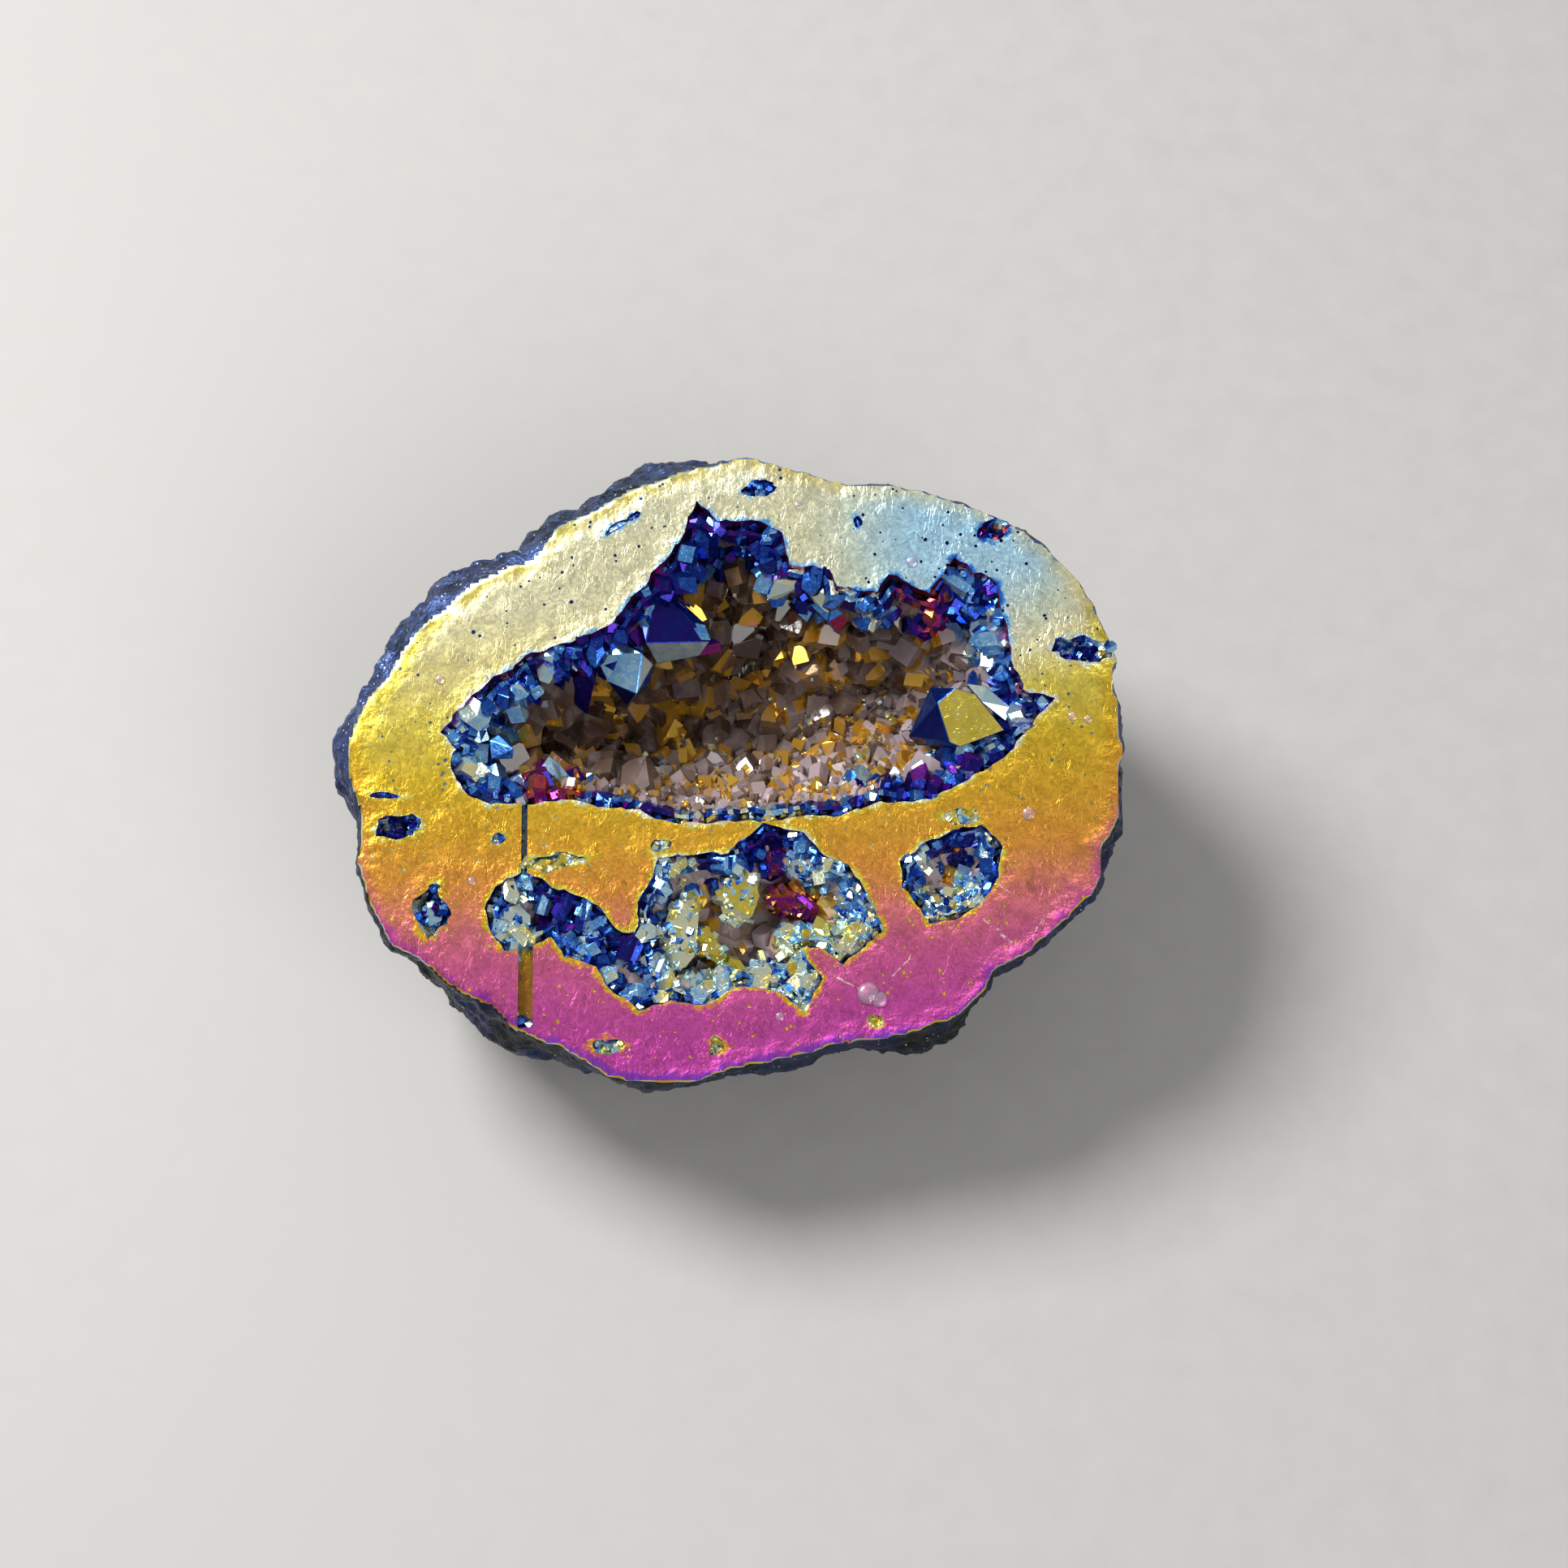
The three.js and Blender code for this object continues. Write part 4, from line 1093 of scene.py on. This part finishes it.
class Finish:
    """One material, built from nodes. Sizes and depths are in millimetres unless MM is with them."""

    def __init__(self, name):
        self.material = bpy.data.materials.new(name)
        self.material.use_nodes = True
        self.nodes = self.material.node_tree.nodes
        self.links = self.material.node_tree.links
        self.shader = self.nodes["Principled BSDF"]
        self.output = self.nodes["Material Output"]
        self.coordinates = self.nodes.new("ShaderNodeTexCoord")

    def node(self, kind, settings=None, values=()):
        made = self.nodes.new(kind)
        for name, value in (settings or {}).items():
            if name == "stops":
                self.stop(made.color_ramp, value)
            else:
                setattr(made, name, value)
        pairs = values.items() if isinstance(values, dict) else enumerate(values)
        for place, value in pairs:
            self.put(made.inputs[place], value)
        return made

    def stop(self, ramp, stops):
        for place, _ in stops[1:-1]:
            ramp.elements.new(place)
        for element, (place, colour) in zip(ramp.elements, stops):
            element.position = place
            element.color = paint(colour) if isinstance(colour, str) else [colour] * 3 + [1]

    def put(self, socket, value):
        if isinstance(value, Signal):
            self.links.new(value.socket, socket)
        else:
            socket.default_value = value

    def add(self, kind, settings=None, values=(), output=0):
        return Signal(self, self.node(kind, settings, values).outputs[output])

    def object_place(self):
        return Signal(self, self.coordinates.outputs["Object"])

    def face_place(self):
        """The place in the face's frame, in metres."""
        turned = {"Vector": self.object_place(), "Location": FACE_ORIGIN, "Rotation": (FACE_TILT, 0, 0)}
        return self.add("ShaderNodeMapping", {"vector_type": "TEXTURE"}, turned)

    def facing(self):
        """How far a surface faces the way that the cut face does, from -1 to 1."""
        ways = [Signal(self, self.coordinates.outputs["Normal"]), FACE_AXIS]
        return self.add("ShaderNodeVectorMath", {"operation": "DOT_PRODUCT"}, ways, output=1)

    def split(self, vector):
        made = self.node("ShaderNodeSeparateXYZ", None, [vector])
        return [Signal(self, socket) for socket in made.outputs]

    def noise(self, size, detail=3, rough=0.55, vector=None, distortion=0.0):
        """Noise from 0 to 1, with lumps of a size."""
        values = {
            "Vector": vector or self.object_place(), "Scale": 1 / (size * MM), "Detail": detail,
            "Roughness": rough, "Distortion": distortion,
        }
        return self.add("ShaderNodeTexNoise", None, values)

    def wander(self, size, amount, **settings):
        """Noise either side of 0, by half an amount."""
        return (self.noise(size, **settings) - 0.5) * amount

    def lines(self, width, size, **settings):
        """1 on the fine lines where a noise crosses its middle, and 0 elsewhere."""
        return self.spread((self.noise(size, **settings) - 0.5).absolute(), 0, width, 1, 0)

    def cells(self, size):
        """The distance to the middle of the nearest cell, in parts of the cells' size."""
        values = {"Vector": self.object_place(), "Scale": 1 / (size * MM)}
        return self.add("ShaderNodeTexVoronoi", None, values)

    def dots(self, size, core, rim):
        """1 on a dot in the middle of each cell, fading to 0 from its core to its rim."""
        return self.spread(self.cells(size), core, rim, 1, 0)

    def spread(self, value, low, high, new_low=0.0, new_high=1.0, kind="LINEAR"):
        """A value between low and high, spread over new_low to new_high and held at its ends."""
        values = [value, low, high, new_low, new_high]
        return self.add("ShaderNodeMapRange", {"interpolation_type": kind}, values)

    def ramp(self, value, stops):
        return self.add("ShaderNodeValToRGB", {"stops": stops}, [value])

    def blend(self, factor, first, second, kind="MIX"):
        settings = {"data_type": "RGBA", "blend_type": kind}
        return self.add("ShaderNodeMix", settings, {0: factor, 6: first, 7: second}, output=2)

    def attribute(self, name):
        return self.add("ShaderNodeAttribute", {"attribute_name": name}, output="Fac")

    def bump(self, height, depth, strength, under=None):
        """A normal from a height signal, over another normal."""
        values = {"Height": height, "Distance": depth * MM, "Strength": strength}
        if under:
            values["Normal"] = under
        return self.add("ShaderNodeBump", None, values)

    def complete(self, **sockets):
        for name, value in sockets.items():
            self.put(self.shader.inputs[name.replace("_", " ")], value)
        return self.material


# The coat's colour by how thick it lies, from bare stone through blue to the second red
FILM = [
    (0.0, "#241d1b"), (0.06, "#5e4020"), (0.12, "#b06a1c"), (0.17, "#a42c52"), (0.22, "#58198e"),
    (0.28, "#1c1468"), (0.34, "#16308c"), (0.39, "#2c62c0"), (0.43, "#5c9ede"), (0.48, "#b2daec"),
    (0.53, "#d6e0ca"), (0.58, "#e8e0b2"), (0.64, "#decb58"), (0.70, "#d6b432"), (0.76, "#dba632"),
    (0.81, "#de963f"), (0.855, "#d67e66"), (0.90, "#ce618b"), (0.94, "#bc479c"), (0.98, "#8b3fb1"),
]
# How thick it lies down the middle of the face, from its lowest edge to its highest
FACE_BANDS = [
    (0.0, 0.95), (0.12, 0.93), (0.19, 0.905), (0.25, 0.872), (0.30, 0.83), (0.36, 0.785), (0.44, 0.735),
    (0.50, 0.69), (0.56, 0.65), (0.64, 0.615), (0.76, 0.575), (1.0, 0.56),
]
FACE_LOW = -21.5
FACE_HIGH = 21.5
# How much lower the bands lie at the right edge, and the thin blue corner at the upper right
BAND_DROP = 3.6
RIGHT_EDGE = 24
BLUE_CORNER = (15, 15.5, 0)
BLUE_CORNER_THINNING = 0.095
# How much thinner the coat is on fine dots, and how the face's fine strands are turned
DOT_THINNING = 0.2
COMB_TURN = math.radians(-35)

RIND_COLOURS = [
    (0.0, "#080f0e"), (0.22, "#0e1b1c"), (0.45, "#16213a"), (0.62, "#25335a"), (0.8, "#1d1440"),
    (1.0, "#3b4b70"),
]
RIND_STAINS = [(0.3, "#0c1210"), (0.55, "#2a2620"), (0.75, "#39302c")]
# Colours of the pale specks painted on the rind as glints of its coated grains
RIND_GLINT_COLOURS = [(0.3, "#8fa6cf"), (0.5, "#c3d4dc"), (0.62, "#c9aa60"), (0.75, "#b06aaa")]
SMOKY_HUES = [
    (0.0, "#5c4838"), (0.15, "#94806c"), (0.35, "#bcaea4"), (0.55, "#e0d6dc"), (0.72, "#d0c2c0"),
    (0.78, "#d8a240"), (0.9, "#f0b434"), (1.0, "#ffca48"),
]
QUARTZ_IOR = 1.544
SMOKY_CLARITY = 0.5
SMOKE = "#c9a57c"
SMOKE_DENSITY = 60
BEAD_IOR = 1.5
BEAD_CLARITY = 0.85


def coat_thickness(finish):
    """The thickness of the coat on level stone, by its place on the face."""
    u, v, _ = finish.split(finish.face_place())
    rightwards = finish.spread(u, 0, RIGHT_EDGE * MM, 0, BAND_DROP * MM)
    height = v - rightwards + (finish.wander(6, 3.2 * MM) + finish.wander(0.9, 2.4 * MM, detail=4))
    level = finish.ramp(finish.spread(height, FACE_LOW * MM, FACE_HIGH * MM), FACE_BANDS)
    ends = [finish.face_place(), at_face(*BLUE_CORNER)]
    away = finish.add("ShaderNodeVectorMath", {"operation": "DISTANCE"}, ends, output=1)
    return level - finish.spread(away, 3 * MM, 12 * MM, BLUE_CORNER_THINNING, 0, "SMOOTHSTEP")


def scratch(finish, start, end, width):
    """1 on a fine straight scratch between two places of the face, and 0 elsewhere."""
    u, v, _ = finish.split(finish.face_place())
    along = Vector(end) - Vector(start)
    length = along.length * MM
    along.normalize()
    du = u - start[0] * MM + finish.wander(1.2, 0.8 * MM, detail=2)
    dv = v - start[1] * MM
    part = du * along.x + dv * along.y
    aside = (dv * along.x - du * along.y).absolute()
    inside = part.math("GREATER_THAN", 0) * part.math("LESS_THAN", length)
    return finish.spread(aside, 0.5 * width * MM, 1.3 * width * MM, 1, 0) * inside


def face_finish():
    finish = Finish("rainbow_coated_stone")
    _, v, w = finish.split(finish.face_place())
    to_edge = finish.attribute("edge_distance") + finish.wander(1.3, 1.6)
    to_lip = finish.attribute("lip_distance") + finish.wander(0.9, 1.5, detail=4)

    slope = finish.spread(finish.facing(), 0.1, 1, 0.4, 1)
    depth = finish.spread(w, -3 * MM, -0.05 * MM, 0.5, 1)
    low_on_face = finish.spread(v, -12 * MM, 2 * MM, 0.5, 1)
    edge = finish.spread(to_edge / low_on_face, 0.0, 1.2, 0.06, 0)
    lip = finish.spread(to_lip, 0.05, 0.42, 0.76, 1)
    worms = finish.noise(0.5, detail=2, rough=0.5, distortion=2.0)
    thickness = coat_thickness(finish) * slope * depth * lip + edge + (worms - 0.5) * 0.03
    dot_size = finish.spread(finish.noise(0.9, detail=1), 0.36, 0.7, 0.0, 0.23)
    dots = finish.spread(finish.cells(0.6) - dot_size, -0.02, 0.02, 1, 0)
    colour = finish.ramp(thickness - dots * DOT_THINNING, FILM)

    comb = {"Vector": finish.face_place(), "Rotation": (0, 0, COMB_TURN), "Scale": (1, 0.32, 1)}
    combed = finish.add("ShaderNodeMapping", None, comb)
    strands = finish.lines(0.035, 0.5, detail=2, rough=0.5, distortion=0.8, vector=combed)
    strands = strands * finish.spread(finish.noise(2.2), 0.44, 0.56)
    shade = finish.spread(finish.noise(1.8, detail=4, rough=0.6), 0.3, 0.7, 0.86, 1.0)
    shade = shade * finish.spread(w, -1.1 * MM, -0.35 * MM, 0.3, 1)
    shade = shade * finish.spread(strands, 0, 1, 1, 0.72)
    shade = shade * (1 - dots * finish.spread(v, -9 * MM, 0, 0.1, 0.7))
    shaded = finish.blend(1.0, colour, finish.ramp(shade, [(0, 0.0), (1, 1.0)]), "MULTIPLY")
    scratches = 0
    for start, end, width in SCRATCHES:
        scratches = scratch(finish, start, end, width) + scratches
    worn_through = finish.spread(finish.noise(0.45, detail=2), 0.4, 0.56, 0, 0.75)
    scratched = finish.blend(scratches * worn_through, shaded, paint("#ead9d4"))

    round_edge = finish.bump(finish.spread(to_edge, 0, 1.4, kind="SMOOTHSTEP"), 0.14, 0.6)
    lap = finish.bump(worms, 0.012, 0.8, round_edge)
    lined = finish.bump(1 - strands, 0.01, 0.7, lap)
    pitted = finish.bump(1 - dots, 0.06, 0.8, lined)
    rolling = finish.bump(finish.noise(2.2, detail=1), 0.2, 0.8, pitted)
    roughness_at_lips = finish.noise(0.6, detail=2) * finish.spread(to_lip, 0, 1.2, 1, 0)
    rough_lips = finish.bump(roughness_at_lips, 0.16, 0.7, rolling)
    return finish.complete(
        Base_Color=scratched, Metallic=0.9, Roughness=finish.spread(worms, 0.3, 0.7, 0.27, 0.4),
        Normal=rough_lips,
    )


def rind_finish():
    finish = Finish("dark_coated_rind")
    u, v, w = finish.split(finish.face_place())
    grain = finish.noise(1.3, detail=5, rough=0.65)
    patches = finish.noise(7, detail=2)
    colour = finish.ramp(finish.spread(patches * 0.6 + grain * 0.4, 0.32, 0.66), RIND_COLOURS)
    # Lighter blue on the upper left near the face: partly the rind's own coat, partly painted light on
    # the side that faces the key light
    upper_left = finish.spread(v - u * 0.5 + finish.wander(4, 8 * MM), 4 * MM, 18 * MM, 0, 0.6)
    near_face = finish.spread(w + finish.wander(3, 6 * MM), -8 * MM, -1 * MM, 0.12, 1)
    bluish_lit_side = upper_left * near_face
    colour = finish.blend(bluish_lit_side * finish.spread(grain, 0.35, 0.65), colour, paint("#5a72a6"))
    stained = finish.spread(finish.noise(4.5, detail=4), 0.5, 0.66, 0, 0.75)
    colour = finish.blend(stained, colour, finish.ramp(grain, RIND_STAINS))

    # Pale specks painted on the rind as glints of its coated grains, more of them on the upper left
    strewn = finish.spread(finish.noise(4, detail=3), 0.42, 0.58, 0.12, 0) - bluish_lit_side * 0.08
    lucky = finish.spread(finish.noise(0.7, detail=1) - strewn, 0.48, 0.56)
    sparkle = finish.dots(0.42, 0.1, 0.22) * lucky
    glinted_colour = finish.blend(sparkle, colour, finish.ramp(finish.noise(3.1), RIND_GLINT_COLOURS))
    relief = finish.bump(grain, 0.35, 0.9)
    fine = finish.bump(finish.cells(0.28), 0.07, 0.9, relief)
    return finish.complete(
        Base_Color=glinted_colour, Metallic=0.75, Roughness=finish.spread(grain, 0.3, 0.7, 0.55, 0.32),
        Normal=fine,
    )


def coated_quartz_finish():
    """Coated quartz: its colour is by the tone that each facet has, as a thickness of the coat."""
    finish = Finish("coated_quartz")
    level = finish.spread(finish.facing(), 0.985, 0.997)
    facing = finish.spread(finish.facing(), -0.4, 1, 0.86, 1.04)
    strewn = finish.spread(finish.noise(0.9, detail=1), 0.5, 0.58)
    thickness = finish.attribute("tone") * facing + finish.wander(0.8, 0.09, detail=4)
    thickness = thickness + finish.dots(0.3, 0.06, 0.14) * strewn * 0.12
    thickness = thickness + finish.lines(0.03, 0.9, detail=2, distortion=2.5) * 0.04
    thickness = thickness - finish.dots(0.5, 0.08, 0.13) * level * DOT_THINNING
    relief = finish.bump(finish.noise(0.3, detail=3), 0.03, 0.6)
    lap = finish.bump(finish.noise(0.5, detail=2, distortion=2) * level, 0.06, 0.6, relief)
    return finish.complete(
        Base_Color=finish.ramp(thickness, FILM), Metallic=0.85,
        Roughness=finish.spread(finish.noise(0.9), 0.3, 0.7, 0.1, 0.24), Normal=lap,
    )


def smoky_quartz_finish():
    """Quartz from smoky brown through milky to amber, by the tone that each facet has."""
    finish = Finish("smoky_quartz")
    u, v, _ = finish.split(finish.face_place())
    tone = finish.attribute("tone")
    lit = finish.spread(u * 0.5 - v + finish.wander(3.5, 6 * MM), -7 * MM, 3 * MM)
    shade = finish.blend(lit, paint("#776250"), paint("#fff4f8"))
    shaded = finish.spread(tone, 0.74, 0.82, 1, 0.25)
    colour = finish.blend(shaded, finish.ramp(tone, SMOKY_HUES), shade, "MULTIPLY")
    clouds = finish.spread(finish.noise(1.2), 0.5, 0.75, 0, 0.4)
    smoke = {"Color": paint(SMOKE), "Density": SMOKE_DENSITY}
    absorption = finish.add("ShaderNodeVolumeAbsorption", None, smoke)
    finish.put(finish.output.inputs["Volume"], absorption)
    return finish.complete(
        Base_Color=finish.blend(clouds, colour, paint("#b4a6a4")),
        Metallic=finish.spread(tone, 0.8, 0.86, 0, 0.5),
        Roughness=finish.spread(finish.noise(0.8), 0.3, 0.7, 0.03, 0.12),
        Normal=finish.bump(finish.noise(0.3, detail=2), 0.008, 0.4),
        Transmission_Weight=SMOKY_CLARITY, IOR=QUARTZ_IOR,
    )


def clear_bead_finish():
    finish = Finish("clear_bead")
    milk = finish.noise(0.5)
    return finish.complete(
        Base_Color=finish.blend(milk, paint("#f4ecf4"), paint("#d9c7dc")),
        Roughness=finish.spread(milk, 0.3, 0.7, 0.04, 0.14),
        Transmission_Weight=BEAD_CLARITY, IOR=BEAD_IOR,
    )


def floor_finish():
    finish = Finish("pale_floor")
    grain = finish.noise(2.5, detail=4)
    return finish.complete(
        Base_Color=finish.blend(grain, paint("#9d9b98"), paint("#a6a4a0")),
        Roughness=finish.spread(grain, 0.3, 0.7, 0.55, 0.7),
    )


def dress(piece, *materials):
    piece.data.materials.clear()
    for material in materials:
        piece.data.materials.append(material)


def dress_stone(stone, face_material, rind_material):
    dress(stone, face_material, rind_material)
    for face, coated_face in zip(stone.data.polygons, coated_faces(stone)):
        face.material_index = 0 if coated_face else 1


def dress_bed(bed, coats, coat_depth, coated, smoky):
    """Coats a bed down to a depth, and leaves it smoky below."""
    stream = random.Random(BED_SEED)
    dress(bed, smoky, coated)
    tones = []
    for face in in_order(bed.data.polygons):
        near_face = -face.center.z / MM < coat_depth
        face.material_index = 1 if near_face else 0
        if near_face:
            tones.append(BED_COAT_SHARE * coat_at(coats, face.center, stream))
        else:
            tones.append(stream.uniform(0.15, 0.65))
    give_tones(bed, tones)


def keep(pieces):
    """Settles dressed pieces, which ride on the stone's body."""
    for piece in pieces:
        settle(piece)
        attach(piece, "root")


# Building: the stone, the large hollow's small points, its big crystals, and the small hollows

kinds = quartz_kinds()
stone = cut_stone()
dress_stone(stone, face_finish(), rind_finish())
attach(stone, "root")
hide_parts("geode_shell")

coated = coated_quartz_finish()
smoky = smoky_quartz_finish()


def on_ledge(face):
    return face.centre.y < LEDGE_TOP * MM and abs(face.centre.x) < LEDGE_HALF * MM


def is_milky(face):
    leaning = face.centre.y - MILKY_LEAN * face.centre.x
    return leaning < MILKY_TOP * MM and face.centre.x > MILKY_LEFT * MM


cavity_bed = crust_bed("cavity_bed", CAVITY)
upper = faces_inside(cavity_bed, CAVITY, 0, CAVITY_COAT_DEPTH)
lower = faces_inside(cavity_bed, CAVITY, CAVITY_COAT_DEPTH, DEEPEST)
ledge = [face for face in upper if on_ledge(face) and face.centre.z <= -LEDGE_START * MM]
far = druse(kinds, ledge, *LEDGE_DRUSE)
far += druse(kinds, [face for face in lower if not is_milky(face)], *WALL_DRUSE)
far += druse(kinds, [face for face in lower if is_milky(face)], *MILKY_DRUSE)
glint_faces = [face for face in lower if face.centre.y < GLINT_TOP * MM]
glints = druse(kinds, glint_faces, *GLINT_DRUSE, GLINT_COATS)
for glint in glints:
    glint.matrix_world.translation += Vector((0, 0, GLINT_LIFT * MM))

# The big crystals, and the points that find room between them
big = [facetted(name, *facts) for name, facts in COATED_CRYSTALS.items()]
vug_names = ("chain", "vug", "pit")
cavity_big = [crystal for crystal in big if not crystal.name.startswith(vug_names)]
vug_big = [crystal for crystal in big if crystal.name.startswith(vug_names)]
near = druse(kinds, [face for face in upper if not on_ledge(face)], *COATED_DRUSE, CAVITY_COATS)
near += rim_points(kinds, CAVITY, CAVITY_RIM_SEED, CAVITY_COATS)
near = clear_of(near, cavity_big)
vug_studs = []
for number, crystal in enumerate(vug_big):
    vug_studs += studs(kinds, crystal, COATED_CRYSTALS[crystal.name][0], STUD_SEED + number)
big_smoky = [facetted(name, *facts) for name, facts in SMOKY_CRYSTALS.items()]
small = []
for strip in EDGE_STRIPS:
    small += edge_points(kinds, *strip)
for number, pit in enumerate(PITS):
    small += pit_points(kinds, pit, PIT_SEED + number)

cavity_near = joined(near + glints, "cavity_coated_points")
cavity_far = joined(far, "cavity_smoky_points")
cavity_big = joined(cavity_big, "cavity_big_crystals")
big_smoky = joined(big_smoky, "big_smoky_crystals")
vug_big = joined(vug_big + vug_studs, "vug_big_crystals")
small_points = joined(small, "pit_and_edge_points")
face_beads = joined(beads(), "face_beads")
dress_bed(cavity_bed, CAVITY_COATS, CAVITY_BED_COAT, coated, smoky)
for piece, material in [
    (cavity_near, coated), (cavity_far, smoky), (cavity_big, coated), (big_smoky, smoky),
    (vug_big, coated), (small_points, coated),
]:
    cut_flush(piece)
    dress(piece, material)
dress(face_beads, clear_bead_finish())
keep([cavity_bed, cavity_near, cavity_far, cavity_big, big_smoky])
keep([vug_big])
keep([small_points, face_beads])
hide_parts("cavity_crystals")

# The chain of vugs and the round vug: name, hollow, its coats, number of coated points, and seed
for name, hollow, coats, count, seed in [
    ("vug_chain", CHAIN, CHAIN_COATS, 200, 22), ("round_vug", ROUND, ROUND_COATS, 34, 23),
]:
    bed = crust_bed(name + "_bed", hollow)
    upper = faces_inside(bed, hollow, 0, VUG_COAT_DEPTH)
    lower = faces_inside(bed, hollow, VUG_COAT_DEPTH, DEEPEST)
    near = druse(kinds, upper, count, *COATED_SIZES, seed, coats)
    near += rim_points(kinds, hollow, seed + RIM_SEED_STEP, coats)
    far = druse(kinds, lower, round(count * SMOKY_SHARE), *SMOKY_SIZES, seed + SMOKY_SEED_STEP)
    near = joined(near, name + "_coated_points")
    far = joined(far, name + "_smoky_points")
    dress_bed(bed, coats, VUG_BED_COAT, coated, smoky)
    for piece, material in [(near, coated), (far, smoky)]:
        cut_flush(piece)
        dress(piece, material)
    keep([bed, near, far])
    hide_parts(name + "_crystals")

for kind in kinds:
    bpy.data.objects.remove(kind)

# The floor, the light and the camera, in metres

deselect()
bpy.ops.mesh.primitive_plane_add(size=3, location=(0, 0, 0))
floor = bpy.context.object
floor.name = "floor"
dress(floor, floor_finish())

LIT_HEIGHT = 0.012
# Soft round lights: place, width and power
LIGHTS = {
    "key_light": ((-0.24, 0.16, 0.36), 0.2, 3.3),
    "fill_light": ((0.2, -0.35, 0.4), 0.4, 1.6),
}
for name, (place, width, power) in LIGHTS.items():
    light = bpy.data.lights.new(name, "AREA")
    light.shape = "DISK"
    light.size = width
    light.energy = power
    lamp = bpy.data.objects.new(name, light)
    bpy.context.collection.objects.link(lamp)
    lamp.location = place
    aim = Vector((0, 0, LIT_HEIGHT)) - lamp.location
    lamp.rotation_euler = aim.to_track_quat("-Z", "Y").to_euler()

world = bpy.data.worlds.new("studio")
world.use_nodes = True
sky = world.node_tree.nodes["Background"].inputs
sky["Color"].default_value = (0.9, 0.92, 0.95, 1)
sky["Strength"].default_value = 0.35
bpy.context.scene.world = world
bpy.context.scene.view_settings.view_transform = "Standard"

PIXELS = 1932
PIXELS_TO_MM = 19
SENSOR_WIDTH = 36
CAMERA_ELEVATION = math.radians(65)
CAMERA_DISTANCE = 0.3
AIM_RIGHT = 2.95
AIM_DOWN = 0.84
frame_width = PIXELS / PIXELS_TO_MM * MM
back = Vector((0, -math.cos(CAMERA_ELEVATION), math.sin(CAMERA_ELEVATION)))
up = Vector((0, math.sin(CAMERA_ELEVATION), math.cos(CAMERA_ELEVATION)))
aim = FACE_ORIGIN + Vector((AIM_RIGHT, 0, 0)) * MM - up * AIM_DOWN * MM
camera_data = bpy.data.cameras.new("camera")
camera_data.sensor_width = SENSOR_WIDTH
camera_data.lens = SENSOR_WIDTH * CAMERA_DISTANCE / frame_width
camera_data.clip_start = 0.01
camera_data.clip_end = 10
camera = bpy.data.objects.new("camera", camera_data)
bpy.context.collection.objects.link(camera)
camera.location = aim + back * CAMERA_DISTANCE
camera.rotation_euler = back.to_track_quat("Z", "Y").to_euler()
bpy.context.scene.camera = camera
